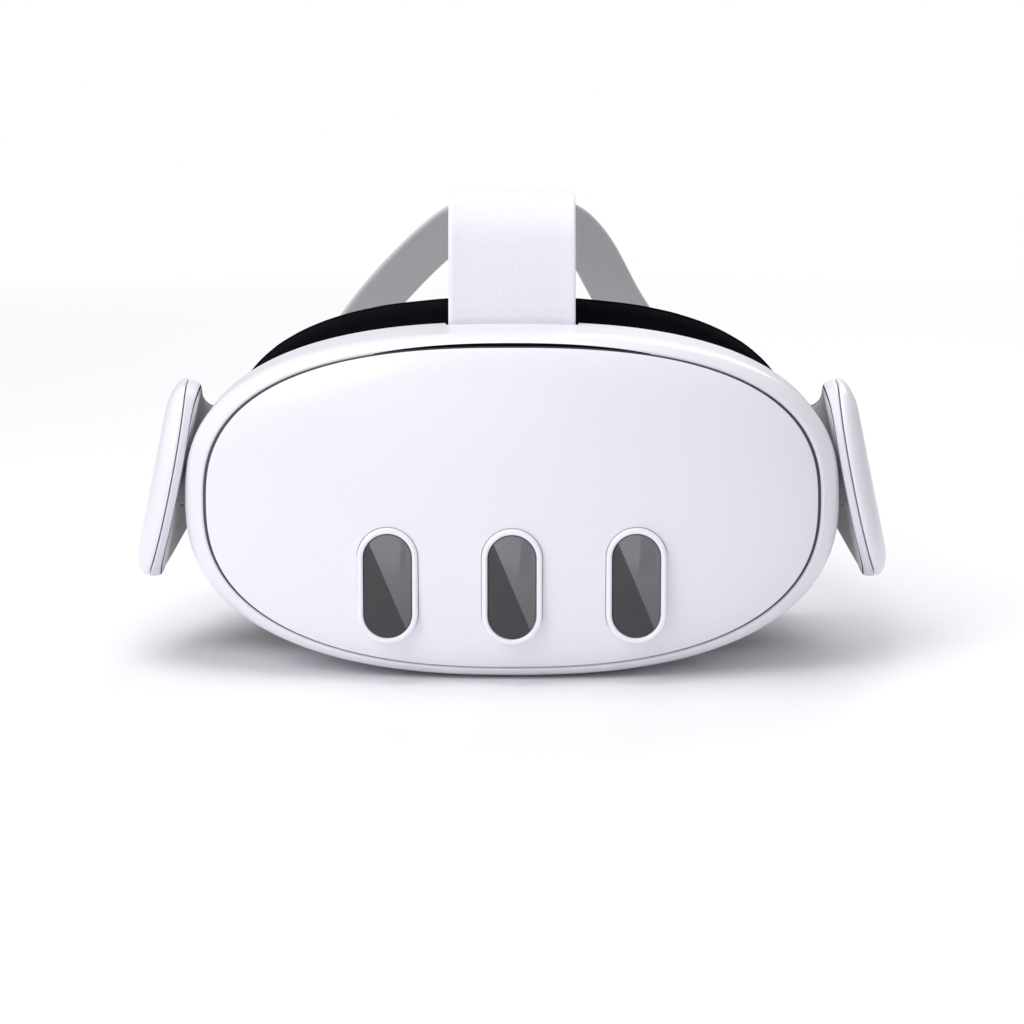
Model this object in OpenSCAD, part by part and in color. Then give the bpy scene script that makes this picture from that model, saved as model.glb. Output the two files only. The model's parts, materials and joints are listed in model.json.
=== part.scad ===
// Mixed-reality headset: a rounded visor with three sensor pods, two pivoting side arms,
// a woven head strap and a sliding face interface. Millimetres, +Z up, front towards -Y.
// Left and right are the wearer's, so left is +X. The origin is the centre of the flat
// dock face on the underside.

/* [Visor body] */
// Width of the visor
body_w = 184; // [176:1:190]
// Height of the visor
body_h = 96; // [95:0.5:97]
// Depth from the middle of the front to the rear rim at the top
body_depth = 43; // [42:0.5:45]
// Corner fullness of the outline: 2 is an ellipse, higher is squarer
outline_power = 2.5; // [2.3:0.1:2.8]
// Plan radius of the curved front
front_radius = 330; // [300:10:420]
// Depth over which the front rounds into the sides
edge_depth = 15; // [13:0.5:17]
// How late the front starts to round over
edge_power = 3.2; // [2.8:0.1:4]
// Wall of the casings
wall = 2.2; // [1.8:0.1:2.6]
// Share of the outline that the front cover fills
cover_share = 0.93; // [0.925:0.001:0.935]

/* [Sensor pods] */
// Distance between neighbouring pods
pod_pitch = 34.2; // [33:0.1:36]
// Height of the pods' centres below the lens axis
pod_drop = 20.8; // [20:0.1:22]
// Width and height of a pod's window
pod_window = [13.4, 29]; // [10:0.1:34]
// Width of the raised rim round a window
pod_rim = 1.65; // [1.2:0.1:2.2]

/* [Lenses] */
// Distance between the lens axes at rest
lens_pitch = 64; // [64:1:65]
// Radius of a lens barrel
barrel_r = 23.5; // [22:0.1:23.5]
// Gear module of the lens spacing drive
gear_module = 0.8; // [0.8:0.1:0.8]
// Teeth on both pinions
pinion_teeth = 12; // [12:1:12]

/* [Side arms] */
// Half height of the arm beside the visor
arm_half_h = 28; // [24:0.5:29]
// Half height of the arm where the strap starts
arm_end_half_h = 12.5; // [11:0.5:13]
// Lean of the arms towards the head
arm_lean = 12; // [11:0.5:14]
// Wall of the arm shells
arm_wall = 1.5; // [1.2:0.1:1.8]

/* [Head strap] */
// Width of the top strap
top_strap_w = 36; // [32:1:36]
// Thickness of the webbing
web_t = 1.8; // [1.4:0.1:2]
// Height of the top strap's fold above the lens axis
fold_rise = 82; // [80:0.2:84]
// Width of the two branches at the back
branch_w = 18; // [16:0.5:20]
// Height of the side and rear strap
side_strap_h = 24; // [20:1:25]
// Radius of the rear strap's arc
rear_r = 78; // [76:0.5:80]
// How far the side straps drop towards the back, in degrees
strap_drop = 6; // [4:0.5:7]

/* [Face interface] */
// Half width and half height where the cushion sits
face_half = [83.5, 47.5]; // [46:0.5:84]
// Radius of the face curve in plan
face_radius = 190; // [180:5:240]
// Depth and width of the cushion
cushion = [14, 13]; // [10:1:16]
// Height of the nose relief
nose_h = 20; // [16:1:24]

/* [Hidden] */
$fn = 48;

pad_stand = 0.6;                          // how far the dock pad stands below the casing
lens_z = body_h / 2 + pad_stand;          // height of the lens axis
front_y = -32;                            // foremost point of the casing
rear_y = front_y + body_depth;            // rear rim at the top
rear_sweep = 5;                           // extra depth of the rear rim at the sides
chin = 6;                                 // extra depth of the rear rim at the bottom
seam_gap = 0.008;                         // gap round the front cover, as a share of the outline
seg = 56;                                 // points round an outline

// ---------- shared geometry ----------

function signed_power(v, p) = sign(v) * pow(abs(v), p);
function outline(t, a, b) =
    [a * signed_power(cos(t), 2 / outline_power), b * signed_power(sin(t), 2 / outline_power)];
function bend(x) = x * x / (2 * front_radius);
function round_over(s) = edge_depth * (1 - pow(1 - pow(min(s, 1), edge_power), 1 / edge_power));
// Height of the outline above its axis at x
function outline_z(x, a, b) = b * pow(1 - pow(abs(x) / a, outline_power), 1 / outline_power);
// Share of the outline on which a point of the front lies
function share_at(x, z) =
    pow(pow(abs(x) / (body_w / 2), outline_power) + pow(abs(z) / (body_h / 2), outline_power),
        1 / outline_power);
function front_at(x, z) = front_y + bend(x) + round_over(share_at(x, z));
// Angle from straight down of the casing's normal at x on the underside
function under_tilt(x) = let(z = outline_z(x, body_w / 2, body_h / 2))
    atan2(pow(abs(x), outline_power - 1) / pow(body_w / 2, outline_power),
          pow(z, outline_power - 1) / pow(body_h / 2, outline_power));

// Front surface, w millimetres inside the casing
function front_ring(s, w) = [for (i = [0 : seg - 1])
    let(p = s * outline(360 * i / seg, body_w / 2 - w, body_h / 2 - w))
    [p[0], front_y + w + bend(p[0]) + round_over(s), lens_z + p[1]]];
// Side wall, k from 0 at the rounded front to 1 at the rear rim
function wall_ring(k, w) = [for (i = [0 : seg - 1])
    let(p = outline(360 * i / seg, body_w / 2 - w, body_h / 2 - w),
        from = front_y + w + bend(p[0]) + edge_depth,
        to = rear_y + rear_sweep * pow(p[0] / (body_w / 2), 2) + chin * smooth(5, 40, -p[1]))
    [p[0], from + k * (to - from), lens_z + p[1]]];
function bezier(p, u) = pow(1 - u, 3) * p[0] + 3 * pow(1 - u, 2) * u * p[1]
    + 3 * (1 - u) * u * u * p[2] + u * u * u * p[3];
function unit(v) = v / norm(v);
function smooth(a, b, u) = let(k = max(0, min(1, (u - a) / (b - a)))) k * k * (3 - 2 * k);
function arc(c, r, from, to, n) = [for (i = [0 : n])
    let(t = from + (to - from) * i / n) c + r * [cos(t), sin(t)]];
function reversed(list) = [for (i = [len(list) - 1 : -1 : 0]) list[i]];
function heading(path, i) =
    unit(path[min(i + 1, len(path) - 1)] - path[max(i - 1, 0)]);
// The path moved sideways by d, to the left of its heading
function beside(path, d) = [for (i = [0 : len(path) - 1])
    let(h = heading(path, i)) path[i] + d * [-h[1], h[0]]];

// A strip of width t along a path
module band(path, t) { polygon(concat(beside(path, t / 2), reversed(beside(path, -t / 2)))); }

// A solid through rings of points. Rings run counter-clockwise seen from the first one.
// "loop" joins the last ring to the first; "strip" closes C-shaped rings across their wall.
module loft(rings, ends = "flat") {
    n = len(rings[0]);
    m = len(rings);
    half = n / 2;
    last = (m - 1) * n;
    sides = [for (j = [0 : m - (ends == "loop" ? 1 : 2)]) for (i = [0 : n - 1])
        let(next = (i + 1) % n, up = ((j + 1) % m) * n)
        each [[j * n + i, j * n + next, up + next], [j * n + i, up + next, up + i]]];
    flat = [[for (i = [n - 1 : -1 : 0]) i], [for (i = [0 : n - 1]) last + i]];
    strip = [for (i = [0 : half - 2]) each [
        [n - 1 - i, n - 2 - i, i + 1], [n - 1 - i, i + 1, i],
        [last + i, last + i + 1, last + n - 2 - i], [last + i, last + n - 2 - i, last + n - 1 - i]]];
    polyhedron([for (r = rings) each r],
        concat(sides, ends == "flat" ? flat : ends == "strip" ? strip : []), convexity = 8);
}

module at_lens_height() { translate([0, 0, lens_z]) children(); }
module both_sides() {
    children();
    mirror([1, 0, 0]) children();
}
// Extrudes a shape drawn as [x, z] from y = from to y = to
module slab(from, to) { translate([0, to, 0]) rotate([90, 0, 0]) linear_extrude(to - from) children(); }
module pill(w, h) {
    for (k = [-1, 1]) translate([0, k * (h - w) / 2]) circle(d = w);
    square([w, h - w], center = true);
}
module outline_shape(a, b) { polygon([for (i = [0 : seg - 1]) outline(360 * i / seg, a, b)]); }
module along_x(x0, x1, r) { translate([x0, 0, 0]) rotate([0, 90, 0]) cylinder(h = x1 - x0, r = r); }
module along_y(y0, y1, r) { translate([0, y0, 0]) rotate([-90, 0, 0]) cylinder(h = y1 - y0, r = r); }

// ---------- front cover and sensor pods ----------

pod_x = [-pod_pitch, 0, pod_pitch];
pod_proud = 1.6;                          // how far a rim stands out at its top
pod_gap = 0.15;
function pod_face(x) = front_at(x, pod_drop - pod_window[1] / 2) - pod_proud;

module at_pod(x) { translate([x, 0, lens_z - pod_drop]) children(); }

module faceplate() {
    outer_w = pod_window[0] + 2 * pod_rim + 2 * pod_gap;
    outer_h = pod_window[1] + 2 * pod_rim + 2 * pod_gap;
    outer = [for (s = [0.08, 0.25, 0.45, 0.6, 0.72, 0.8, 0.86, 0.9, cover_share]) front_ring(s, 0)];
    inner = [for (s = [cover_share, 0.87, 0.75, 0.55, 0.3, 0.08]) front_ring(s, wall)];
    color("white") difference() {
        loft(concat(outer, inner));
        for (x = pod_x) at_pod(x) slab(front_y - 5, front_y + 20) pill(outer_w, outer_h);
    }
}

// Dark strip that fills the seam behind the front cover
module faceplate_gasket() {
    near = cover_share + 0.001;
    far = cover_share + seam_gap - 0.001;
    color("black") loft([
        front_ring(near, wall + 0.2), front_ring(far, wall + 0.2),
        front_ring(far, wall + 1.6), front_ring(near, wall + 1.6)], "loop");
}

module sensor_rims() {
    color("white") for (x = pod_x) at_pod(x) difference() {
        slab(pod_face(x), pod_face(x) + 9)
            pill(pod_window[0] + 2 * pod_rim, pod_window[1] + 2 * pod_rim);
        slab(pod_face(x) - 1, pod_face(x) + 12) pill(pod_window[0], pod_window[1]);
    }
}

module sensor_windows() {
    color([0.2, 0.2, 0.22]) for (x = pod_x) at_pod(x)
        slab(pod_face(x) + 0.4, pod_face(x) + 1.6)
            pill(pod_window[0] - 2 * pod_gap, pod_window[1] - 2 * pod_gap);
}

// One camera: a square housing behind a round lens barrel
module camera(size, lens_r, depth) {
    translate([0, depth, 0]) cube([size, 3, size], center = true);
    along_y(0, depth - 1.5, lens_r);
}

camera_offset = 7.2;                      // camera centres above and below a pod's centre
module tracking_cameras() {
    color("black") for (x = [-pod_pitch, pod_pitch]) at_pod(x)
        translate([0, pod_face(x) + 2, -camera_offset]) camera(9, 3.6, 6);
}
module colour_cameras() {
    color("black") for (x = [-pod_pitch, pod_pitch]) at_pod(x)
        translate([0, pod_face(x) + 2, camera_offset]) camera(9, 2.8, 6);
}
module depth_projector() {
    color("black") at_pod(0) translate([0, pod_face(0) + 2, 0]) {
        translate([0, 6, 0]) cube([10, 3, 24], center = true);
        for (k = [-1, 1]) translate([0, 0, 7 * k]) along_y(0, 4.5, 3);
    }
}

// ---------- casing behind the cover ----------

wheel_x = 30;
rocker_x = -42;
power_x = 62;
usb_x = 49;
jack_x = -58.6;
side_camera_x = 76;
pivot_y = 2;                              // side arm pivot, behind the dock pad's centre
pivot_rise = 3;                           // side arm pivot above the lens axis
hub_r = 6;
under_y = -1;                             // depth at which the underside controls sit
bar_y = rear_y - 1.5;                     // top strap bar
vent_share = cover_share + 0.022;         // far edge of the vent over the front cover
vent_half_w = 37;
bar_rise = body_h / 2 - 5;
strap_room = top_strap_w + 20;            // width kept free for the bar and its brackets

function under_z(x) = lens_z - outline_z(x, body_w / 2, body_h / 2);
module at_underside(x) {
    translate([x, under_y, under_z(x)]) rotate([0, -sign(x) * under_tilt(x), 0]) children();
}
module at_side_camera() {
    translate([side_camera_x, -3.4, under_z(side_camera_x)])
        rotate([0, -under_tilt(side_camera_x), 0]) children();
}

module body_shell() {
    s0 = cover_share + seam_gap;
    outer = concat([for (s = [s0, 0.965, 0.983, 0.996, 1]) front_ring(s, 0)],
                   [for (k = [0.3, 0.65, 1]) wall_ring(k, 0)]);
    inner = concat([for (k = [1, 0]) wall_ring(k, wall)], [front_ring(s0, wall)]);
    color("white") difference() {
        loft(concat(outer, inner), "loop");
        translate([-23.2, -8.2, -1]) cube([46.4, 16.4, 6]);
        translate([wheel_x - 9.5, -4.5, -1]) cube([19, 6, 14]);
        at_underside(rocker_x) cube([23, 6, 12], center = true);
        at_underside(power_x) cylinder(h = 12, r = 3.7, center = true);
        translate([usb_x, under_y, 5]) linear_extrude(30, center = true) rotate(90) pill(3.6, 9.4);
        translate([jack_x, under_y, -2]) cylinder(h = 30, r = 3.1);
        both_sides() {
            translate([0, pivot_y, lens_z + pivot_rise]) along_x(body_w / 2 - 12, body_w / 2 + 4, hub_r + 0.1);
            at_side_camera() cylinder(h = 12, r = 4.7, center = true);
        }
        translate([-top_strap_w / 2 - 0.8, bar_y - 4.4, lens_z + 36]) cube([top_strap_w + 1.6, 20, 16]);
        at_lens_height() slab(front_y - 1, front_y + 12) intersection() {
            difference() {
                outline_shape(vent_share * body_w / 2, vent_share * body_h / 2);
                outline_shape(cover_share * body_w / 2, cover_share * body_h / 2);
            }
            translate([-vent_half_w, 0]) square([2 * vent_half_w, body_h]);
        }
    }
}

module side_camera_windows() {
    color([0.2, 0.2, 0.22]) both_sides() at_side_camera() translate([0, 0, 0.6]) cylinder(h = 1.2, r = 4.5);
}
module side_cameras() {
    color("black") both_sides() at_side_camera() translate([0, 0, 2.2]) {
        cylinder(h = 4, r = 3.2);
        translate([0, 0, 5.2]) cube([9, 9, 2.6], center = true);
    }
}

post_xz = [[52, 29.5], [52, -29.5], [-52, 29.5], [-52, -29.5], [77, 0], [-77, 0]];
rod_rise = 27;
rod_y = 10;
rod_end = 67;
chassis_y = -10;
cover_y = 13;                             // front of the rear cover

// Plate that carries the boards in front and the lens rods behind
module chassis() {
    color([0.25, 0.25, 0.27]) at_lens_height() difference() {
        union() {
            slab(chassis_y, chassis_y + 2) difference() {
                outline_shape(82, 41);
                for (k = [-1, 1]) translate([k * pod_pitch, -pod_drop]) square([12, 26], center = true);
            }
            for (p = post_xz) translate([p[0], 0, p[1]]) along_y(chassis_y + 1, cover_y, 3);
            both_sides() for (k = [-1, 1]) translate([62, chassis_y + 1, k * rod_rise - 3])
                cube([4, rod_y + 2.6 - chassis_y - 1, 6]);
        }
        for (p = post_xz) translate([p[0], 0, p[1]]) along_y(0, cover_y + 1, 1.1);
        for (k = [-1, 1]) translate([0, rod_y, k * rod_rise]) along_x(-70, 70, 1.52);
        translate([0, 0, link_rise]) along_y(chassis_y - 1, chassis_y + 3, 1.52);
        translate([wheel_x, 0, wheel_rise]) along_y(chassis_y - 1, chassis_y + 3, 1.02);
    }
}

module main_board() {
    color("darkgreen") at_lens_height() difference() {
        slab(chassis_y - 2.2, chassis_y - 0.8) {
            translate([0, fan_rise]) square([104, 32], center = true);
            translate([0, -2]) square([128, 12], center = true);
        }
        slab(chassis_y - 3, chassis_y) for (k = [-1, 1]) translate([48 * k, 33]) circle(r = 1.2);
    }
    color("black") at_lens_height() for (k = [-1, 1])
        translate([30 * k - 7, chassis_y - 3.6, 6]) cube([14, 1.4, 14]);
}

fan_rise = 20;                            // blower and battery above the lens axis
module heat_spreader() {
    color([0.72, 0.5, 0.35]) at_lens_height() difference() {
        slab(chassis_y - 4.4, chassis_y - 3.7) translate([0, fan_rise]) square([86, 28], center = true);
        slab(chassis_y - 6, chassis_y - 3) translate([0, fan_rise]) circle(r = 5);
    }
}
module fan_housing() {
    color([0.15, 0.15, 0.16]) at_lens_height() translate([0, 0, fan_rise]) difference() {
        along_y(chassis_y - 9.5, chassis_y - 4.5, 15.5);
        along_y(chassis_y - 9, chassis_y - 3, 14.5);
        along_y(chassis_y - 10, chassis_y - 6, 9);
    }
    color([0.15, 0.15, 0.16]) at_lens_height() translate([0, 0, fan_rise]) {
        along_y(chassis_y - 4.9, chassis_y - 4.5, 15.5);
        along_y(chassis_y - 5.5, chassis_y - 4.7, 1.5);
        along_y(chassis_y - 8.6, chassis_y - 5.4, 1);
    }
}
module fan_rotor() {
    color([0.3, 0.3, 0.32]) at_lens_height() translate([0, 0, fan_rise]) difference() {
        union() {
            along_y(chassis_y - 8.7, chassis_y - 5.7, 6);
            for (k = [0 : 12]) rotate([0, 360 * k / 13, 0])
                translate([5.5, chassis_y - 8.5, -0.4]) cube([7.5, 2.6, 0.8]);
        }
        along_y(chassis_y - 8.9, chassis_y - 5, 1.05);
    }
}

battery_size = [62, 22];
module battery() {
    color([0.35, 0.36, 0.4]) at_lens_height()
        slab(chassis_y - 16, chassis_y - 10.5) translate([0, fan_rise - 1]) offset(2) square(battery_size, center = true);
}
module battery_tray() {
    color([0.2, 0.2, 0.22]) at_lens_height() difference() {
        slab(chassis_y - 13, chassis_y - 9.8) translate([0, fan_rise - 1]) square(battery_size + [10, 8], center = true);
        slab(chassis_y - 17, chassis_y - 10.3) translate([0, fan_rise - 1]) offset(2.4) square(battery_size, center = true);
        translate([0, 0, fan_rise]) along_y(chassis_y - 12, chassis_y - 9, 11);
    }
}

opening_r = barrel_r + 0.8;
lens_travel = [3, 3.5];                   // towards the nose, away from it
module rear_cover() {
    low = lens_pitch / 2 - lens_travel[0];
    high = lens_pitch / 2 + lens_travel[1];
    color([0.08, 0.08, 0.09]) at_lens_height() difference() {
        slab(cover_y, cover_y + 2) difference() {
            outline_shape(85, 42);
            for (k = [-1, 1]) {
                for (x = [low, high]) translate([k * x, 0]) circle(r = opening_r);
                translate([k * (low + high) / 2, 0]) square([high - low, 2 * opening_r], center = true);
                translate([k * lens_pitch / 2, 0]) square([20 + lens_travel[0] + lens_travel[1], 66], center = true);
            }
        }
        for (p = post_xz) translate([p[0], 0, p[1]]) along_y(cover_y - 1, cover_y + 3, 1.2);
        for (x = [-rail_x, rail_x]) for (k = [-1, 1])
            translate([x, 0, k * rail_rise]) along_y(cover_y - 1, cover_y + 3, 1.52);
        slab(cover_y - 1, cover_y + 3) {
            translate([0, 12]) pill(4.2, 8.2);
            translate([0, bar_rise + 3]) square([strap_room, 17], center = true);
        }
    }
}
module rear_screws() {
    color("silver") at_lens_height() for (p = post_xz) translate([p[0], 0, p[1]]) difference() {
        union() {
            along_y(cover_y - 10, cover_y + 2.2, 1);
            along_y(cover_y + 2.1, cover_y + 3.4, 2);
        }
        along_y(cover_y + 2.7, cover_y + 4, 0.8, $fn = 6);
    }
}
module proximity_window() {
    color("black") at_lens_height() slab(cover_y + 0.4, cover_y + 2) translate([0, 12]) pill(3.9, 7.9);
}

// ---------- lens spacing drive ----------

pitch_r = gear_module * pinion_teeth / 2;
addendum = gear_module;
dedendum = 1.2 * gear_module;
pressure = 25;                            // pressure angle
backlash = 0.12;
rack_rise = -31.3;                        // middle of the left rack
rack_half = 2.5;                          // rack middle to either pitch line
link_rise = rack_rise + rack_half + pitch_r;
wheel_rise = rack_rise - rack_half - pitch_r;
rack_y = [2.5, 6.5];

// Involute of the base circle, at radius r
function involute_angle(r, base) = let(a = acos(min(1, base / r))) tan(a) * 180 / PI - a;
module gear_outline(teeth) {
    r = gear_module * teeth / 2;
    base = r * cos(pressure);
    tip = r + addendum;
    root = r - dedendum;
    half = 90 / teeth - backlash / (2 * r) * 180 / PI / 2 + involute_angle(r, base);
    flank = [for (i = [0 : 5]) base + (tip - base) * i / 5];
    circle(r = root, $fn = 60);
    for (k = [0 : teeth - 1]) rotate(360 * k / teeth) polygon(concat(
        [[root * cos(half + 1) * 0.97, -root * sin(half + 1) * 0.97]],
        [for (q = flank) let(t = half - involute_angle(q, base)) [q * cos(t), -q * sin(t)]],
        [for (q = reversed(flank)) let(t = half - involute_angle(q, base)) [q * cos(t), q * sin(t)]],
        [[root * cos(half + 1) * 0.97, root * sin(half + 1) * 0.97]]));
}
// Straight rack teeth pointing up from the pitch line, a tooth space centred on x = 0
module rack_teeth(from, to, depth) {
    p = PI * gear_module;
    w = p / 4 - backlash / 4;
    translate([from, -dedendum - depth]) square([to - from, depth + 0.01]);
    for (k = [ceil(from / p - 0.5) : floor(to / p - 0.5)]) translate([(k + 0.5) * p, 0]) polygon([
        [-w - dedendum * tan(pressure), -dedendum], [-w + addendum * tan(pressure), addendum],
        [w - addendum * tan(pressure), addendum], [w + dedendum * tan(pressure), -dedendum]]);
}

// Barrel with its rod ears; the rack differs between the two sides
module lens_carrier(side) {
    x = side * lens_pitch / 2;
    color([0.12, 0.12, 0.13]) at_lens_height() difference() {
        union() {
            translate([x, 0, 0]) along_y(-3, 19, barrel_r);
            for (k = [-1, 1]) translate([x - 8, rod_y - 3, k * rod_rise - 4 - k * 2]) cube([16, 6, 8]);
            if (side > 0) {
                translate([x - 4, rack_y[0], rack_rise - 1]) cube([8, 4, 16]);
                slab(rack_y[0], rack_y[1]) {
                    translate([0, rack_rise + rack_half]) rack_teeth(-11, 30, 2.2);
                    translate([wheel_x, rack_rise - rack_half]) mirror([0, 1]) rack_teeth(-11, 11, 2.2);
                }
            } else slab(rack_y[0], rack_y[1])
                translate([0, link_rise + pitch_r]) mirror([0, 1]) rack_teeth(-24, 7, 2.4);
        }
        translate([x, 0, 0]) {
            along_y(-4, 15.5, barrel_r - 2.6);
            along_y(14, 20, barrel_r - 1.6);
        }
        for (k = [-1, 1]) translate([x, rod_y, k * rod_rise]) along_x(-10, 10, 1.55);
    }
}
module lens_carrier_left() { lens_carrier(1); }
module lens_carrier_right() { lens_carrier(-1); }

// Thick lens with a domed eye side
module lens(side) {
    r = barrel_r - 1.8;
    dome = 60;
    color([0.75, 0.8, 0.85]) at_lens_height() translate([side * lens_pitch / 2, 0, 0]) rotate([-90, 0, 0])
        rotate_extrude() polygon(concat([[0, 15.6], [r, 15.6]],
            [for (i = [0 : 8]) let(q = r * (1 - i / 8)) [q, 16.4 + sqrt(dome * dome - q * q) - sqrt(dome * dome - r * r)]]));
}
module lens_left() { lens(1); }
module lens_right() { lens(-1); }

module display(side) {
    color([0.05, 0.05, 0.08]) at_lens_height() translate([side * lens_pitch / 2, 0, 0])
        slab(-5.2, -3.2) intersection() {
            square(42, center = true);
            rotate(45) square(50, center = true);
        }
}
module display_left() { display(1); }
module display_right() { display(-1); }

module guide_rods() {
    color("silver") at_lens_height() for (k = [-1, 1])
        translate([0, rod_y, k * rod_rise]) along_x(-rod_end, rod_end, 1.5);
}
module link_pinion() {
    color("ivory") at_lens_height() translate([0, 0, link_rise]) difference() {
        slab(rack_y[0], rack_y[1]) rotate(90) gear_outline(pinion_teeth);
        along_y(0, 10, 1.55);
    }
}
module pinion_pin() {
    color("silver") at_lens_height() translate([0, 0, link_rise]) {
        along_y(chassis_y - 0.5, 7.5, 1.5);
        along_y(6.7, 7.5, 2.6);
    }
}
wheel_r = 9.5;
module spacing_wheel() {
    color([0.85, 0.85, 0.87]) at_lens_height() translate([wheel_x, 0, wheel_rise]) difference() {
        union() {
            slab(-4, 1) difference() {
                circle(r = wheel_r);
                for (k = [0 : 35]) rotate(10 * k) translate([wheel_r, 0]) circle(r = 0.35, $fn = 8);
            }
            along_y(0.9, 2.3, 3);
            slab(2.2, 7) rotate(90) gear_outline(pinion_teeth);
        }
        along_y(-6, 9, 1.05);
    }
}
module spacing_wheel_pin() {
    color("silver") at_lens_height() translate([wheel_x, 0, wheel_rise]) {
        along_y(chassis_y - 0.5, 8.2, 1);
        along_y(7.4, 8.2, 2);
    }
}

// ---------- underside: dock pad, controls and sockets ----------

contact_x = [-15, -5, 5, 15];
module dock_pad() {
    color("white") difference() {
        translate([0, 0, 1.6]) cube([46, 16, 3.2], center = true);
        for (x = contact_x) translate([x, 0, -0.1]) cylinder(h = 4, r = 2.1);
    }
}
module dock_contacts() {
    color("gold") for (x = contact_x) translate([x, 0, 0.25]) cylinder(h = 3, r = 2);
}
rocker_pin_in = 3.4;                      // depth of the rocker's pin inside the casing
module volume_rocker() {
    color("white") at_underside(rocker_x) difference() {
        translate([0, 0, -1.1]) linear_extrude(5.8) rotate(90) pill(5, 22);
        translate([0, 0, rocker_pin_in]) along_y(-4, 4, 0.85);
    }
}
module rocker_pin() {
    color("silver") at_underside(rocker_x) translate([0, 0, rocker_pin_in]) along_y(-4, 4, 0.8);
}
module power_button() {
    color("white") at_underside(power_x) translate([0, 0, -0.5]) {
        cylinder(h = 3.4, r = 3.4);
        translate([0, 0, 3.3]) cylinder(h = 1.2, r = 4.6);
    }
}
module usb_port() {
    color("silver") translate([usb_x, under_y, under_z(usb_x) - 0.4]) difference() {
        linear_extrude(8) rotate(90) pill(3.2, 9);
        translate([0, 0, -1]) linear_extrude(7.5) difference() {
            rotate(90) pill(2.56, 8.34);
            square([6.6, 0.7], center = true);
        }
    }
}
jack_r = 1.8;
jack_length = 14;
module audio_jack() {
    color([0.15, 0.15, 0.16]) translate([jack_x, under_y, under_z(jack_x)]) difference() {
        cylinder(h = jack_length + 1.5, r = 3);
        translate([0, 0, -1]) cylinder(h = jack_length + 1, r = jack_r);
    }
}

// ---------- face interface ----------

rail_x = 70;
rail_rise = 14;
sleeve_front = 9.3;
// Front edge of the frame inside the casing, further forward at the top
function sleeve_at(z) = sleeve_front - 6 * smooth(15, 40, z);
function face_y(x) = 48 + x * x / (2 * face_radius);
// Nose relief, as a lift of the lower edge
function nose_lift(x, z) = z < 0 ? nose_h * exp(-pow(x / 15, 2)) : 0;
function face_ring(k, w) = [for (i = [0 : seg - 1])
    let(a = (1 - k) * (body_w / 2 - wall - 0.8) + k * face_half[0] - w,
        b = (1 - k) * (body_h / 2 - wall - 0.8) + k * face_half[1] - w,
        p = outline(360 * i / seg, a, b),
        lift = smooth(0.25, 1, k) * nose_lift(p[0], p[1]))
    [p[0], sleeve_at(p[1]) + k * (face_y(p[0]) - sleeve_at(p[1])), lens_z + p[1] + lift]];
function cushion_ring(r, d) = [for (i = [0 : seg - 1])
    let(p = outline(360 * i / seg, face_half[0] + r, face_half[1] + r), lift = nose_lift(p[0], p[1]))
    [p[0], face_y(p[0]) + 0.2 + d, lens_z + p[1] + lift]];

module face_frame() {
    steps = [0, 0.3, 0.55, 0.78, 1];
    color([0.07, 0.07, 0.08]) difference() {
        union() {
            loft(concat([for (k = steps) face_ring(k, 0)], [for (k = reversed(steps)) face_ring(k, 2)]), "loop");
            at_lens_height() both_sides() {
                for (k = [-1, 1]) translate([rail_x - 5, 23, k * rail_rise - 4]) cube([17.8, 7, 8]);
                translate([latch_x - 1, 23, -rail_rise]) cube([2.5, 14, 2 * rail_rise]);
            }
        }
        at_lens_height() both_sides() {
            for (k = [-1, 1]) translate([rail_x, 0, k * rail_rise]) along_y(15, 40, 1.55);
            translate([0, 30, 0]) along_x(latch_x - 4, latch_x + 5, 5.2);
        }
        translate([-strap_room / 2, 0, lens_z + 34]) cube([strap_room, bar_y + 5.5, 20]);
    }
}
latch_x = 80;
module depth_latch(side) {
    color([0.3, 0.3, 0.32]) at_lens_height() scale([side, 1, 1]) translate([0, 30, 0]) {
        along_x(latch_x - 3, latch_x + 2.2, 5);
    }
}
module depth_latch_left() { depth_latch(1); }
module depth_latch_right() { mirror([1, 0, 0]) depth_latch(1); }

module face_cushion() {
    d = cushion[0];
    w = cushion[1];
    color([0.03, 0.03, 0.04]) loft([
        cushion_ring(1, 0), cushion_ring(3, d * 0.25), cushion_ring(3, d * 0.7), cushion_ring(1, d * 0.96),
        cushion_ring(-w * 0.45, d), cushion_ring(3 - w, d * 0.8), cushion_ring(4 - w, d * 0.3),
        cushion_ring(-3, 0)], "loop");
}
module nose_flap() {
    color([0.05, 0.05, 0.06]) at_lens_height() translate([0, 38, -23.4]) rotate([20, 0, 0])
        intersection() {
            cube([34, 1.4, 11], center = true);
            translate([0, 0, 16]) along_y(-2, 2, 22);
        }
}
module depth_rails() {
    color("silver") at_lens_height() both_sides() for (k = [-1, 1])
        translate([rail_x, 0, k * rail_rise]) along_y(cover_y + 0.2, 38, 1.5);
}

// ---------- side arms ----------

arm_front = -10;                          // foremost point of an arm
arm_back = 104;                           // where the side strap leaves it
arm_end_x = 87;
arm_line = [[95.8, arm_front, 2.5], [101.2, 14, 3], [100.6, 60, 2.5], [arm_end_x, arm_back, 2]];
arm_steps = [0, 0.015, 0.045, 0.09, 0.15, 0.22, 0.32, 0.42, 0.52, 0.62, 0.72, 0.82, 0.91, 1];
function arm_nose(u) = pow(1 - pow(1 - min(max(u, 0.0008) / 0.24, 1), 2.3), 1 / 2.3);
function arm_half(u) = arm_nose(u) * (arm_half_h + (arm_end_half_h - arm_half_h) * smooth(0.34, 0.9, u));
function arm_out(u) = arm_nose(u) * (4.4 - 1.8 * smooth(0.35, 0.95, u));
function arm_in(u) = arm_nose(u) * (4.3 - 1.9 * smooth(0.35, 0.95, u));
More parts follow.
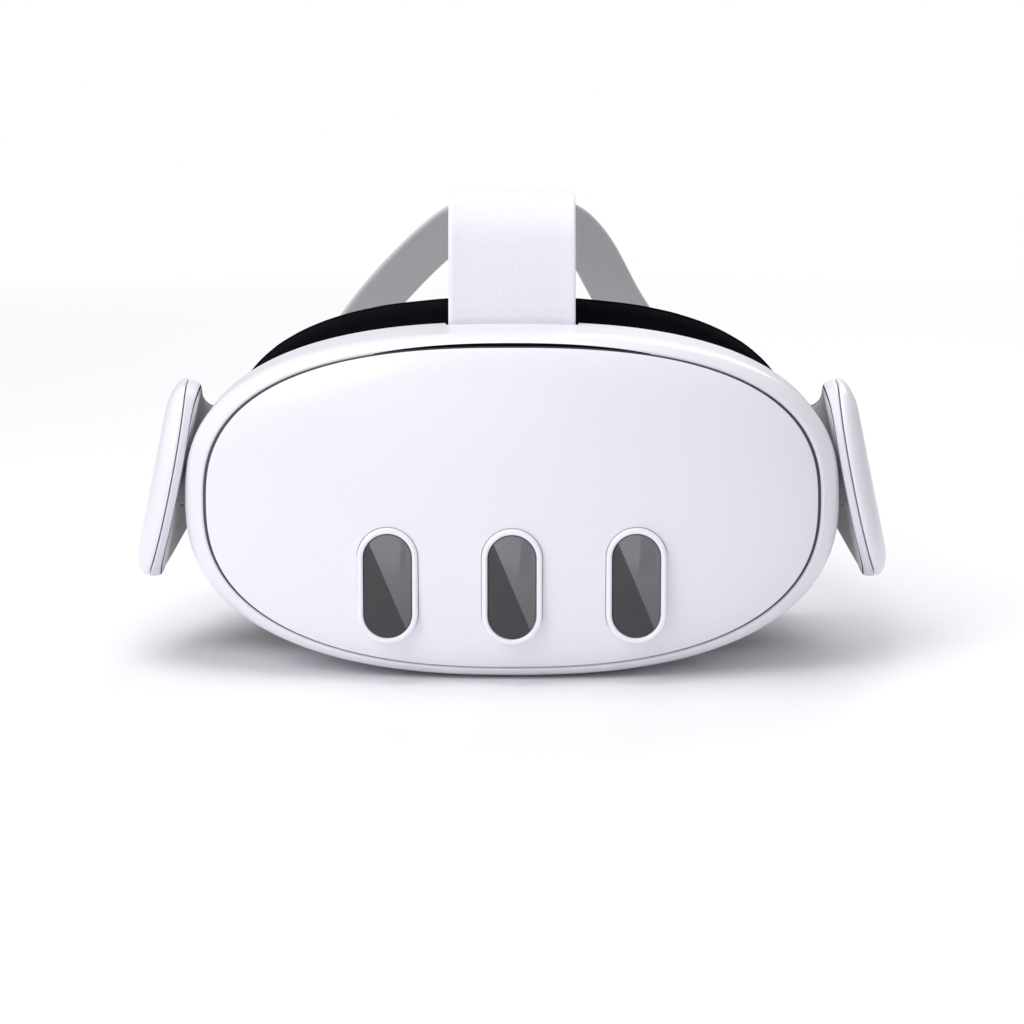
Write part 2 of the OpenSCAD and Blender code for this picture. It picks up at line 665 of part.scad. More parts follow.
// Point of the arm's surface at angle t, 0 outwards and 90 up, w inside the surface
function arm_point(u, t, w) =
    let(c = bezier(arm_line, u), lean = arm_lean * (1 - smooth(0.3, 1, u)),
        h = max(0.5 * arm_half(u), arm_half(u) - w),
        f = cos(t) > 0 ? arm_out(u) : arm_in(u),
        d = max(0.45 * f, f - w) * signed_power(cos(t), 0.85),
        v = h * signed_power(sin(t), 0.85))
    [c[0] + d * cos(lean) - v * sin(lean), c[1], lens_z + c[2] + d * sin(lean) + v * cos(lean)];
function arm_section(u, from, shift) = concat(
    [for (i = [0 : 8]) arm_point(u, from + 22.5 * i, 0) + [shift, 0, 0]],
    [for (i = [8 : -1 : 0]) arm_point(u, from + 22.5 * i, arm_wall) + [shift, 0, 0]]);

module arm_outer() { color("white") loft([for (u = arm_steps) arm_section(u, -90, 0.15)], "strip"); }
module arm_inner() {
    color([0.9, 0.9, 0.92]) difference() {
        loft([for (u = arm_steps) arm_section(u, 90, -0.15)], "strip");
        translate([0, pivot_y, lens_z + pivot_rise]) along_x(80, 97.5, hub_r + 0.05);
        for (k = [0 : 3]) translate([96, 30 + 4 * k, lens_z - 4]) cube([8, 1.6, 10], center = true);
    }
}
module arm_outer_left() { arm_outer(); }
module arm_inner_left() { arm_inner(); }
module arm_outer_right() { mirror([1, 0, 0]) arm_outer(); }
module arm_inner_right() { mirror([1, 0, 0]) arm_inner(); }

// Pin and washer that an arm turns on
module pivot_hub() {
    color([0.6, 0.6, 0.62]) translate([0, pivot_y, lens_z + pivot_rise]) {
        along_x(body_w / 2 - 5, body_w / 2 - wall - 1.5, 7);
        along_x(body_w / 2 - 5, 97, hub_r);
    }
}
module pivot_hub_left() { pivot_hub(); }
module pivot_hub_right() { mirror([1, 0, 0]) pivot_hub(); }

module speaker() {
    color([0.2, 0.2, 0.22]) translate([99, 36, lens_z + 2.5]) rotate([0, 90 - arm_lean, 0])
        cylinder(h = 2.8, r = 8, center = true);
}
module speakers_left() { speaker(); }
module speakers_right() { mirror([1, 0, 0]) speaker(); }

// ---------- head strap ----------

// The side and rear strap lie in one plane that drops towards the back, from the arms' ends
module strap_plane() { translate([0, arm_back, lens_z + 2]) rotate([-strap_drop, 0, 0]) children(); }
arc_back = 51;                            // rear arc's centre behind the arms' ends
branch_angle = 34;                        // where a branch meets the rear arc, above the X axis
tongue_h = 10;                            // height of the tongue inside the arm
module side_strap() {
    start = [arm_end_x, 1.4];
    into_arm = unit([13.5, -44]);
    path = [for (i = [0 : 8]) bezier([start, start - 13 * into_arm, [rear_r, 34], [rear_r, arc_back]], i / 8)];
    tongue = [start + 5 * into_arm, start - 0.5 * into_arm];
    color([0.93, 0.93, 0.95]) strap_plane() {
        linear_extrude(side_strap_h, center = true) band(path, web_t);
        linear_extrude(tongue_h, center = true) band(tongue, 0.9);
        translate([0, arc_back, 0]) rotate_extrude(angle = branch_angle, $fn = 96) strap_profile();
    }
}
module strap_profile() { translate([rear_r, 0]) square([web_t, side_strap_h], center = true); }
module side_strap_left() { side_strap(); }
module side_strap_right() { mirror([1, 0, 0]) side_strap(); }
module rear_strap() {
    color([0.93, 0.93, 0.95]) strap_plane() translate([0, arc_back, 0]) rotate([0, 0, branch_angle + 0.3])
        rotate_extrude(angle = 180 - 2 * branch_angle - 0.6, $fn = 96) strap_profile();
}
slider_angle = 15;                        // arc that a slider covers
slider_start = 67;                        // angle of its near end at rest
module strap_slider() {
    color("white") strap_plane() translate([0, arc_back, 0]) rotate([0, 0, slider_start])
        rotate_extrude(angle = slider_angle, $fn = 96) translate([rear_r, 0]) difference() {
            square([6.4, side_strap_h + 6], center = true);
            square([web_t + 0.8, side_strap_h + 0.8], center = true);
        }
}
module strap_slider_left() { strap_slider(); }
module strap_slider_right() { mirror([1, 0, 0]) strap_slider(); }

strap_slope = 2;                          // fall of the top strap behind its fold
fold_r = 11;
fold_end = [bar_y + fold_r + fold_r * sin(strap_slope), fold_rise - fold_r + fold_r * cos(strap_slope)];
crown_y = 164;                            // where the top strap ends, lapped over the crown yoke
function slope_at(y) = fold_end[1] - (y - fold_end[0]) * tan(strap_slope);
yoke_y = 152;                             // middle of the yoke's crown
yoke_rise = slope_at(yoke_y) - 4.6;       // leaves a gap under the top strap
lap = 14;                                 // how far a branch laps over the rear strap
lap_r = rear_r + web_t + 0.15;
// Point given in the strap plane
function on_strap(p) = [p[0], arm_back + p[1] * cos(strap_drop) + p[2] * sin(strap_drop),
    2 - p[1] * sin(strap_drop) + p[2] * cos(strap_drop)];
lap_top = on_strap([lap_r * cos(branch_angle), arc_back + lap_r * sin(branch_angle), side_strap_h / 2 + 2]);
up_strap = [0, sin(strap_drop), cos(strap_drop)];
branch_line = [[0, yoke_y, yoke_rise], [23, yoke_y + 2, yoke_rise + 0.6], lap_top + 6 * up_strap, lap_top];
// Centre of a branch: a bezier for u up to 1, then straight down the strap
function branch_at(u) = u <= 1 ? bezier(branch_line, u) : lap_top - (u - 1) * lap * up_strap;
// Outward direction of a branch: up over the crown, then backwards, then out from the rear strap
function branch_facing(u) = let(down = smooth(0, 0.24, u), out = smooth(0.45, 1, u))
    (1 - out) * ((1 - down) * [0, 0.05, 1] + down * [0.4, 0.83, 0.38])
    + out * [cos(branch_angle), sin(branch_angle), 0];
function branch_section(u) =
    let(c = branch_at(u), t = unit(branch_at(u + 0.01) - branch_at(u - 0.01)),
        across = unit(cross(branch_facing(u), t)), n = unit(cross(t, across)), h = branch_w / 2)
    [for (q = [[-1, 1], [1, 1], [1, -1], [-1, -1]])
        c + q[0] * h * across + q[1] * web_t / 2 * n + [0, 0, lens_z]];
// One band over the crown, from the rear strap on one side to that on the other
module crown_yoke() {
    half = concat([for (i = [1 : 18]) branch_section(i / 18)], [branch_section(1.4), branch_section(2)]);
    color([0.66, 0.66, 0.67]) loft(concat(
        [for (r = reversed(half)) [for (p = r) [-p[0], p[1], p[2]]]], [branch_section(0)], half));
}

module strap_bar() {
    color("silver") translate([0, bar_y, lens_z + bar_rise]) {
        along_x(-24, 24, 1.6);
        for (k = [-1, 1]) translate([25 * k, -3, -1]) cube([4, 12, 5], center = true);
    }
}
// One band, folded round the bar and back on itself: a long inner run and a short outer tail
module top_strap() {
    gap = 2.1;                            // distance between the two layers' middles
    loop_r = 1.6 + 0.35 + web_t / 2;
    join = 10;                            // height over which the layers come together
    arch = concat([[bar_y, bar_rise + join], [bar_y, fold_rise - fold_r]],
        [for (i = [1 : 8]) [bar_y + fold_r, fold_rise - fold_r] + fold_r * [-cos((90 + strap_slope) * i / 8), sin((90 + strap_slope) * i / 8)]],
        [for (y = [60, crown_y]) [y, slope_at(y)]]);
    inner = beside(arch, -gap / 2);
    outer = beside(arch, gap / 2);
    tail = [for (i = [0 : len(arch) - 2]) outer[i]];
    loop = arc([bar_y, bar_rise], loop_r, 180, 360, 12);
    run = concat(reversed(tail), loop, inner);
    color("white") at_lens_height() rotate([90, 0, 90]) linear_extrude(top_strap_w, center = true)
        band(run, web_t);
}

faceplate();
faceplate_gasket();
sensor_rims();
sensor_windows();
tracking_cameras();
colour_cameras();
depth_projector();
body_shell();
side_camera_windows();
side_cameras();
chassis();
main_board();
heat_spreader();
fan_housing();
fan_rotor();
battery();
battery_tray();
rear_cover();
rear_screws();
guide_rods();
lens_carrier_left();
lens_carrier_right();
lens_left();
lens_right();
display_left();
display_right();
link_pinion();
pinion_pin();
spacing_wheel();
spacing_wheel_pin();
proximity_window();
dock_pad();
dock_contacts();
volume_rocker();
rocker_pin();
power_button();
usb_port();
audio_jack();
strap_bar();
pivot_hub_left();
pivot_hub_right();
depth_rails();
face_frame();
face_cushion();
nose_flap();
depth_latch_left();
depth_latch_right();
arm_outer_left();
arm_inner_left();
arm_outer_right();
arm_inner_right();
speakers_left();
speakers_right();
side_strap_left();
side_strap_right();
rear_strap();
crown_yoke();
strap_slider_left();
strap_slider_right();
top_strap();
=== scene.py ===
import json
import math

import bmesh
import bpy
import numpy as np
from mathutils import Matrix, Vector


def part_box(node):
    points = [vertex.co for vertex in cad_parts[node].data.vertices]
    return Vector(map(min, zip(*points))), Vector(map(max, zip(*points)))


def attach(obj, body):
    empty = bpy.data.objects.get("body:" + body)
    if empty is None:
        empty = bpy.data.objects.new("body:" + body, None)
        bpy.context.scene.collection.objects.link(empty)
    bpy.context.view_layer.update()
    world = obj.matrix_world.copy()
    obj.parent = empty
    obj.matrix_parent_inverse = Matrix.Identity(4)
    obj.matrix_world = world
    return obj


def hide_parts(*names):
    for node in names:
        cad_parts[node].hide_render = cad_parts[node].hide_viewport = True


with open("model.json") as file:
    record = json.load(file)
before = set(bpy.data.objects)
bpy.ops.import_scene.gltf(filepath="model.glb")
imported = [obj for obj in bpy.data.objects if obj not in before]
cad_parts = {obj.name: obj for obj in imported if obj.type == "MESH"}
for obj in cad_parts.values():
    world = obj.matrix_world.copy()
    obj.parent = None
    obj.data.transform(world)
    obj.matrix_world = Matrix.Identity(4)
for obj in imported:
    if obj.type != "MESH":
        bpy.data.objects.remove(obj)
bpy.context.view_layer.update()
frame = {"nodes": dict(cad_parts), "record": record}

MM = 0.001

# ---------- sizes, in millimetres; x to the wearer's left, y backwards, z above the lens axis ----------


def node_box(node):
    lo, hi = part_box(node)
    return np.array(lo) / MM, np.array(hi) / MM


def middle(node):
    """Middle of a node's box, with z above the lens axis."""
    lo, hi = node_box(node)
    return (lo + hi) / 2 - LENS_UP


shell_lo, shell_hi = node_box("body_shell")
HALF_W = (shell_hi[0] - shell_lo[0]) / 2
HALF_H = (shell_hi[2] - shell_lo[2]) / 2
LENS_Z = (shell_hi[2] + shell_lo[2]) / 2
LENS_UP = np.array([0, 0, LENS_Z])
FRONT_Y = round(node_box("faceplate")[0][1], 1)
OUTLINE_POWER = 2.5
FRONT_RADIUS = 330
EDGE_DEPTH = 15
EDGE_POWER = 3.2
WALL = 2.2
REAR_Y = 11
REAR_SWEEP = 5
CHIN = 6
COVER_SHARE = 0.93
SEAM_GAP = 0.0125
VENT_SHARE = 0.952
VENT_HALF_W = 38
POD_PITCH = 34.2
POD_DROP = 20.8
POD_W, POD_H = 13.4, 29
POD_RIM = 1.65
POD_PROUD = 1.6
EDGE_R = 0.5                              # rounding of the cover's and casing's seam edges
EDGE_SHARE = 0.006                        # the same rounding as a share of the outline
SIDES = ((1, "left"), (-1, "right"))
FINE = 256                                # points round a casing outline


def spow(v, p):
    return np.sign(v) * np.abs(v) ** p


def outline(t, a, b):
    return a * spow(np.cos(t), 2 / OUTLINE_POWER), b * spow(np.sin(t), 2 / OUTLINE_POWER)


def outline_z(x, a=None, b=None):
    a, b = a or HALF_W, b or HALF_H
    return b * (1 - (abs(x) / a) ** OUTLINE_POWER) ** (1 / OUTLINE_POWER)


def bend(x):
    return x * x / (2 * FRONT_RADIUS)


def round_over(s):
    return EDGE_DEPTH * (1 - (1 - min(s, 1) ** EDGE_POWER) ** (1 / EDGE_POWER))


def smooth(a, b, u):
    k = np.clip((u - a) / (b - a), 0, 1)
    return k * k * (3 - 2 * k)


def share_at(x, z):
    """How far out a point is, from 0 in the middle to 1 on the outline."""
    return ((abs(x) / HALF_W) ** OUTLINE_POWER
            + (abs(z) / HALF_H) ** OUTLINE_POWER) ** (1 / OUTLINE_POWER)


def front_at(x, z):
    return FRONT_Y + bend(x) + round_over(share_at(x, z))


def turn(n=FINE):
    return np.linspace(0, 2 * math.pi, n, endpoint=False)


def front_ring(s, w):
    x, z = outline(turn(), HALF_W - w, HALF_H - w)
    x, z = s * x, s * z
    return np.stack([x, FRONT_Y + w + bend(x) + round_over(s), z], 1)


def wall_ring(k, w):
    x, z = outline(turn(), HALF_W - w, HALF_H - w)
    start = FRONT_Y + w + bend(x) + EDGE_DEPTH
    end = REAR_Y + REAR_SWEEP * (x / HALF_W) ** 2 + CHIN * smooth(5, 40, -z)
    return np.stack([x, start + k * (end - start), z], 1)


def bezier(p, u):
    p = np.array(p, float)
    u = np.asarray(u, float)[..., None]
    return (1 - u) ** 3 * p[0] + 3 * (1 - u) ** 2 * u * p[1] + 3 * (1 - u) * u * u * p[2] + u ** 3 * p[3]


def unit(v):
    v = np.asarray(v, float)
    return v / np.maximum(np.linalg.norm(v, axis=-1, keepdims=True), 1e-9)


def circle(angles):
    return np.stack([np.cos(angles), np.sin(angles)], 1)


def run_along(points):
    """Distance covered at each point of a path."""
    return np.concatenate([[0], np.cumsum(np.linalg.norm(np.diff(points, axis=0), axis=1))])


def neighbours(ring):
    """The points after and before each point of a closed ring."""
    return np.roll(ring, -1, 0), np.roll(ring, 1, 0)


# ---------- meshes ----------

X = np.array([1.0, 0.0, 0.0])


def link(name, mesh, looks, angle):
    ob = bpy.data.objects.new(name, mesh)
    bpy.context.scene.collection.objects.link(ob)
    for look in looks:
        mesh.materials.append(look)
    shade(ob, angle)
    return ob


def shade(ob, angle):
    ob.data.polygons.foreach_set("use_smooth", [True] * len(ob.data.polygons))
    ob.data.set_sharp_from_angle(angle=math.radians(angle))
    ob.data.update()


def clean(mesh, merge=None, slivers=None, outward=True):
    """Merges close points, drops slivers and turns faces outwards; both distances in metres."""
    bm = bmesh.new()
    bm.from_mesh(mesh)
    if merge:
        bmesh.ops.remove_doubles(bm, verts=bm.verts, dist=merge)
    if slivers:
        bmesh.ops.dissolve_degenerate(bm, dist=slivers, edges=bm.edges)
    if outward:
        bmesh.ops.recalc_face_normals(bm, faces=bm.faces)
    bm.to_mesh(mesh)
    bm.free()


def joined(name, parts):
    """Mesh of (points in mm, faces, look number or list of them) parts, and its look numbers."""
    mesh = bpy.data.meshes.new(name)
    points, faces, picks, start = [], [], [], 0
    for pts, fs, pick in parts:
        points.append(np.asarray(pts, float))
        faces += [tuple(start + i for i in f) for f in fs]
        picks += list(pick) if np.ndim(pick) else [pick] * len(fs)
        start += len(pts)
    mesh.from_pydata(((np.vstack(points) + LENS_UP) * MM).tolist(), [], faces)
    return mesh, picks


def build(name, parts, looks, angle=35):
    """One piece from parts, each made to face outwards."""
    mesh, picks = joined(name, parts)
    mesh.polygons.foreach_set("material_index", picks)
    clean(mesh, merge=2e-6, slivers=1e-6)
    return link(name, mesh, looks, angle)


def loft(rings, ends="flat", pick=0):
    """Part through equal rings. "loop" joins the last ring to the first; pick may give a look per band."""
    n, m = len(rings[0]), len(rings)
    faces, picks = [], []
    for j in range(m if ends == "loop" else m - 1):
        up = (j + 1) % m
        for i in range(n):
            k = (i + 1) % n
            faces.append((j * n + i, j * n + k, up * n + k, up * n + i))
            picks.append(pick[j] if np.ndim(pick) else pick)
    if ends == "flat":
        faces += [tuple(range(n - 1, -1, -1)), tuple((m - 1) * n + i for i in range(n))]
        picks += [picks[0], picks[-1]]
    return np.vstack(rings), faces, picks


def mirrored(part):
    pts, fs, pick = part
    return np.asarray(pts) * [-1, 1, 1], [tuple(reversed(f)) for f in fs], pick


def disc_loft(profile, centre, axis, n=64, pick=0, ends="flat"):
    """Part turned about an axis: profile is a list of (radius, distance along the axis)."""
    axis = unit(axis)
    side = unit(np.cross(axis, [0.3, 0.2, 0.9] if abs(axis[2]) < 0.9 else [1, 0, 0]))
    other = np.cross(axis, side)
    t = turn(n)[:, None]
    rings = [np.asarray(centre) + axis * h + r * (np.cos(t) * side + np.sin(t) * other) for r, h in profile]
    return loft(rings, ends, pick)


def rounded_box(w, h, r, n=8):
    """Outline of a w by h rectangle with corners of radius r, counter-clockwise."""
    pts = []
    for k, (cx, cy) in enumerate([(1, 1), (-1, 1), (-1, -1), (1, -1)]):
        a = np.linspace(k * math.pi / 2, (k + 1) * math.pi / 2, n)
        pts.append(np.stack([cx * (w / 2 - r) + r * np.cos(a), cy * (h / 2 - r) + r * np.sin(a)], 1))
    return np.vstack(pts)


def pill(w, h, n=24):
    return rounded_box(w, h, min(w, h) / 2 - 1e-4, n)


def standing(shape, y, at=(0, 0)):
    """Ring with an outline in x and z, at y."""
    return np.stack([shape[:, 0] + at[0], np.full(len(shape), y), shape[:, 1] + at[1]], 1)


def prism(shape, y0, y1, at=(0, 0)):
    return loft([standing(shape, y, at) for y in (y0, y1)])


def upright(shape, z0, z1, at=(0, 0, 0)):
    """Part with an outline in x and y, from z0 to z1, moved by at."""
    rings = [np.stack([shape[:, 0], shape[:, 1], np.full(len(shape), z)], 1) + at for z in (z0, z1)]
    return loft(rings)


def rod(radius, x0, x1, y, z):
    """Cylinder along x, between two places given in either order."""
    return disc_loft([(radius, min(x0, x1)), (radius, max(x0, x1))], (0, y, z), (1, 0, 0))


def tilted(part, place, tilt_deg):
    """Part drawn along +z at the origin, turned about the y axis and moved."""
    pts, fs, pick = part
    a = math.radians(tilt_deg)
    x = pts[:, 0] * math.cos(a) + pts[:, 2] * math.sin(a)
    z = -pts[:, 0] * math.sin(a) + pts[:, 2] * math.cos(a)
    return np.stack([x, pts[:, 1], z], 1) + np.asarray(place), fs, pick


def block(lo, hi):
    """Box with rounded edges along y; its corners' x may come in either order."""
    (x0, y0, z0), (x1, y1, z1) = lo, hi
    w, h = abs(x1 - x0), z1 - z0
    return prism(rounded_box(w, h, min(w, h) * 0.2, 5), y0, y1, ((x0 + x1) / 2, (z0 + z1) / 2))


def baked(ob):
    """The object's mesh with its modifiers applied."""
    return bpy.data.meshes.new_from_object(ob.evaluated_get(bpy.context.evaluated_depsgraph_get()))


def cut(ob, parts, looks=(), angle=35):
    """Takes closed parts away from ob and keeps the result as its mesh."""
    for k, part in enumerate(parts):
        tool = build(f"tool{k}", [part], looks or [ob.data.materials[0]])
        mod = ob.modifiers.new("cut", "BOOLEAN")
        mod.operation, mod.solver, mod.object = "DIFFERENCE", "EXACT", tool
        mod.material_mode = "TRANSFER"
        mesh = baked(ob)
        ob.modifiers.clear()
        ob.data = mesh
        bpy.data.objects.remove(tool)
    clean(ob.data, slivers=2e-6, outward=False)
    shade(ob, angle)


def settle(ob, body, slot, *nodes):
    """Rides on a CAD body and stands for CAD nodes; the material slot it is given is not used."""
    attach(ob, body)
    if nodes:
        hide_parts(*nodes)
    return ob


# ---------- materials ----------


class Look:
    """Node material built a node at a time."""

    def __init__(self, name):
        self.mat = bpy.data.materials.new(name)
        self.mat.use_nodes = True
        self.tree = self.mat.node_tree
        self.skin = self.tree.nodes["Principled BSDF"]
        self.output = self.tree.nodes["Material Output"]
        self.place = self.node("ShaderNodeTexCoord").outputs["Object"]

    def node(self, kind, **inputs):
        made = self.tree.nodes.new(kind)
        for key, value in inputs.items():
            self.put(made.inputs[key.replace("_", " ")], value)
        return made

    def put(self, socket, value):
        if isinstance(value, bpy.types.NodeSocket):
            self.tree.links.new(value, socket)
        else:
            socket.default_value = value

    def math(self, what, a, b=0.0):
        made = self.tree.nodes.new("ShaderNodeMath")
        made.operation = what
        self.put(made.inputs[0], a)
        self.put(made.inputs[1], b)
        return made.outputs[0]

    def add(self, a, b):
        return self.math("ADD", a, b)

    def sub(self, a, b):
        return self.math("SUBTRACT", a, b)

    def mul(self, a, b):
        return self.math("MULTIPLY", a, b)

    def noise(self, scale, detail=2.0, where=None):
        made = self.node("ShaderNodeTexNoise", Scale=scale, Detail=detail)
        self.put(made.inputs["Vector"], where or self.place)
        return made.outputs["Fac"]

    def span(self, value, lo, hi, start=0.0, end=1.0):
        made = self.node("ShaderNodeMapRange")
        for i, v in enumerate([value, start, end, lo, hi]):
            self.put(made.inputs[i], v)
        return made.outputs[0]

    def mix(self, share, a, b):
        made = self.tree.nodes.new("ShaderNodeMix")
        made.data_type = "RGBA"
        self.put(made.inputs["Factor"], share)
        self.put(made.inputs[6], a)
        self.put(made.inputs[7], b)
        return made.outputs[2]

    def bump(self, height, depth_mm):
        return self.node("ShaderNodeBump", Height=height, Distance=depth_mm * MM, Strength=1.0).outputs["Normal"]

    def edges(self):
        """Share of edge wear, from how convex the surface is."""
        return self.span(self.node("ShaderNodeNewGeometry").outputs["Pointiness"], 0.0, 1.0, 0.52, 0.62)

    def set(self, **inputs):
        for key, value in inputs.items():
            self.put(self.skin.inputs[key.replace("_", " ")], value)
        return self


    def show(self, share, first, second):
        """Ends in a mix of two shaders instead of in the surface alone."""
        both = self.tree.nodes.new("ShaderNodeMixShader")
        for socket, value in zip(both.inputs, (share, first, second)):
            self.put(socket, value)
        self.put(self.output.inputs["Surface"], both.outputs[0])
        return self.mat


def rgb(r, g, b):
    return (r, g, b, 1.0)


def tint(colour, f=1.0):
    """The colour made f times as bright, up to white."""
    return rgb(*[min(1, c * f) for c in colour])


def plastic(name, colour, rough, grain, grain_scale, wear, coat=0.0, shine=0.5):
    """Moulded plastic: fine spark texture, faint colour and gloss variation, polished edges."""
    k = Look(name)
    base = k.mix(k.noise(700, 2), tint(colour, 0.992), tint(colour, 1.008))
    worn = k.mul(k.edges(), wear)
    lighter = rgb(*[min(1, c + 0.25 * (1 - c)) for c in colour])
    height = k.add(k.noise(grain_scale, 1), k.mul(k.noise(grain_scale / 9, 2), 0.5))
    rough_here = k.sub(k.span(k.noise(420, 2), rough - 0.015, rough + 0.02), worn)
    return k.set(Base_Color=k.mix(worn, base, lighter), Roughness=rough_here, IOR=1.46, Coat_Weight=coat,
                 Specular_IOR_Level=shine, Coat_Roughness=0.12, Normal=k.bump(height, grain)).mat


def metal(name, colour, rough, brushed=(1, 1, 1), pits=0.0):
    """Metal, brushed along an axis or blasted."""
    k = Look(name)
    stretch = k.node("ShaderNodeVectorMath")
    stretch.operation = "MULTIPLY"
    k.put(stretch.inputs[0], k.place)
    k.put(stretch.inputs[1], brushed)
    lines = k.noise(900, 3, stretch.outputs[0])
    base = k.mix(lines, tint(colour, 0.88), tint(colour))
    worn = k.mul(k.edges(), 0.3)
    return k.set(Base_Color=k.mix(worn, base, rgb(0.9, 0.9, 0.92)), Metallic=1.0,
                 Roughness=k.span(lines, rough - 0.06, rough + 0.1), Normal=k.bump(lines, 0.006 + pits)).mat


def weave_axes(k):
    """Distances along and across a band, in millimetres, kept on the mesh."""
    at = k.node("ShaderNodeAttribute")
    at.attribute_name = "weave"
    parts = k.node("ShaderNodeSeparateXYZ", Vector=at.outputs["Vector"])
    return parts.outputs[0], parts.outputs[1]


def wave(k, value, pitch, shift=0.0):
    return k.math("SINE", k.add(k.mul(value, 2 * math.pi / pitch), shift))


def knit(name, colour, pitch, depth, kind, half_width, sheen, hem_w, contrast):
    """Woven band: diamonds, twill or ribs over fine yarn, with a plain turned hem on both sides."""
    k = Look(name)
    along, across = weave_axes(k)
    if kind == "diamond":
        one = wave(k, k.add(along, across), pitch)
        two = wave(k, k.sub(along, across), pitch)
        figure = k.span(k.mul(one, two), 0, 1, -1, 1)
    elif kind == "twill":
        figure = k.span(wave(k, k.add(along, k.mul(across, 0.6)), pitch), 0, 1, -1, 1)
    else:
        ribs = k.span(wave(k, across, pitch), 0, 1, -1, 1)
        figure = k.add(ribs, k.mul(wave(k, along, pitch * 0.6), 0.22))
    hem = k.span(k.math("ABSOLUTE", across), 1.0, 0.0, half_width - hem_w - 0.3, half_width - hem_w)
    yarn = k.add(wave(k, along, 0.42), k.mul(wave(k, across, 0.38), 0.7))
    fuzz = k.noise(5200, 2)
    height = k.add(k.mul(figure, hem), k.mul(yarn, 0.13))
    height = k.add(height, k.mul(fuzz, 0.25))
    tone = k.mix(k.span(k.mul(figure, hem), 1, 0, 0.1, 0.8), tint(colour, contrast), tint(colour))
    tone = k.mix(k.mul(k.noise(40, 3), 0.16), tone, tint(colour, 1.05))
    return k.set(Base_Color=tone, Roughness=k.span(fuzz, 0.74, 0.92), Sheen_Weight=sheen,
                 Sheen_Roughness=0.45, Normal=k.bump(height, depth)).mat


def cloth_skin(name, colour, sheen, scale=1400, depth=0.1):
    """Brushed knit over foam: tiny loops with soft nap, from the piece's own space."""
    k = Look(name)
    cells = k.node("ShaderNodeTexVoronoi", Scale=scale, Vector=k.place).outputs["Distance"]
    nap = k.noise(scale * 2.5, 2)
    height = k.add(k.mul(cells, -1.0), k.mul(nap, 0.5))
    tone = k.mix(cells, tint(colour, 1.5), tint(colour, 0.7))
    tone = k.mix(k.mul(k.noise(60, 3), 0.4), tone, tint(colour, 1.9))
    return k.set(Base_Color=tone, Roughness=0.95, Sheen_Weight=sheen, Sheen_Roughness=0.6,
                 Specular_IOR_Level=0.0, Normal=k.bump(height, depth)).mat


def window_glass(name, centres, tilt=0.42):
    """Smoked window: half clear, with one slanted half painted a little lighter as a studio reflection."""
    k = Look(name)
    parts = k.node("ShaderNodeSeparateXYZ", Vector=k.place)
    lighter = None
    # Painted reflection: each window is lighter on one side of a slanted line through its pod, fading towards
    # the bottom.
    for cx, cz in centres:
        dx = k.sub(parts.outputs[0], cx * MM)
        dz = k.sub(parts.outputs[2], cz * MM)
        side = k.add(dx, k.mul(dz, tilt))
        near = k.math("LESS_THAN", k.math("ABSOLUTE", dx), 12 * MM)
        here = k.mul(k.span(side, 0, 1, -0.15 * MM, 0.15 * MM), near)
        lighter = here if lighter is None else k.add(lighter, here)
    fade = k.span(parts.outputs[2], 1.0, 0.5, (LENS_Z - POD_DROP + 12) * MM, (LENS_Z - POD_DROP - 14) * MM)
    tint = k.mix(k.mul(lighter, fade), rgb(0.042, 0.041, 0.046), rgb(0.165, 0.162, 0.176))
    smudge = k.span(k.noise(160, 3), 0.05, 0.11, 0.4, 0.7)
    k.set(Base_Color=tint, Roughness=smudge, IOR=1.5, Coat_Weight=0.4, Coat_Roughness=0.03,
          Normal=k.bump(k.noise(300, 1), 0.002))
    clear = k.node("ShaderNodeBsdfTransparent", Color=rgb(0.75, 0.75, 0.8))
    return k.show(k.span(lighter, 0.72, 0.9), clear.outputs[0], k.skin.outputs[0])


def lens_glass(name):
    """Dark coated eyepiece with a faint violet and green bloom."""
    k = Look(name)
    facing = k.node("ShaderNodeLayerWeight", Blend=0.35).outputs["Facing"]
    bloom = k.mix(facing, rgb(0.012, 0.010, 0.022), rgb(0.05, 0.035, 0.10))
    bloom = k.mix(k.mul(k.noise(26, 1), 0.35), bloom, rgb(0.01, 0.05, 0.045))
    return k.set(Base_Color=bloom, Roughness=k.span(k.noise(90, 2), 0.02, 0.06), IOR=1.6, Coat_Weight=1.0,
                 Coat_Roughness=0.02, Normal=k.bump(k.noise(200, 1), 0.0008)).mat


def circuit(name):
    """Solder mask with copper runs under it."""
    k = Look(name)
    bricks = k.node("ShaderNodeTexBrick", Scale=260.0, Mortar_Size=0.06, Vector=k.place)
    tracks = bricks.outputs["Fac"]
    tone = k.mix(tracks, rgb(0.015, 0.10, 0.055), rgb(0.03, 0.19, 0.10))
    return k.set(Base_Color=tone, Roughness=k.span(k.noise(300, 2), 0.3, 0.5),
                 Normal=k.bump(tracks, 0.03)).mat


WHITE = (0.83, 0.825, 0.885)
white_shell = plastic("white_shell_plastic", WHITE, 0.30, 0.006, 3000, 0.10, coat=0.15)
white_rim = plastic("white_rim_plastic", (0.86, 0.86, 0.92), 0.26, 0.004, 3000, 0.12, coat=0.25)
soft_white = plastic("soft_white_plastic", (0.74, 0.74, 0.80), 0.5, 0.014, 1800, 0.10)
pad_grey = plastic("arm_pad_plastic", (0.74, 0.74, 0.76), 0.6, 0.02, 1500, 0.10)
seam_rubber = plastic("seam_rubber", (0.028, 0.027, 0.036), 0.8, 0.02, 1500, 0.03, shine=0.25)
gasket_grey = plastic("gasket_rubber", (0.07, 0.068, 0.08), 0.8, 0.02, 1500, 0.03, shine=0.25)
black_plastic = plastic("black_plastic", (0.022, 0.022, 0.026), 0.46, 0.02, 1500, 0.16)
black_matt = plastic("black_matt_plastic", (0.004, 0.004, 0.0055), 0.9, 0.02, 1500, 0.01, shine=0.0)
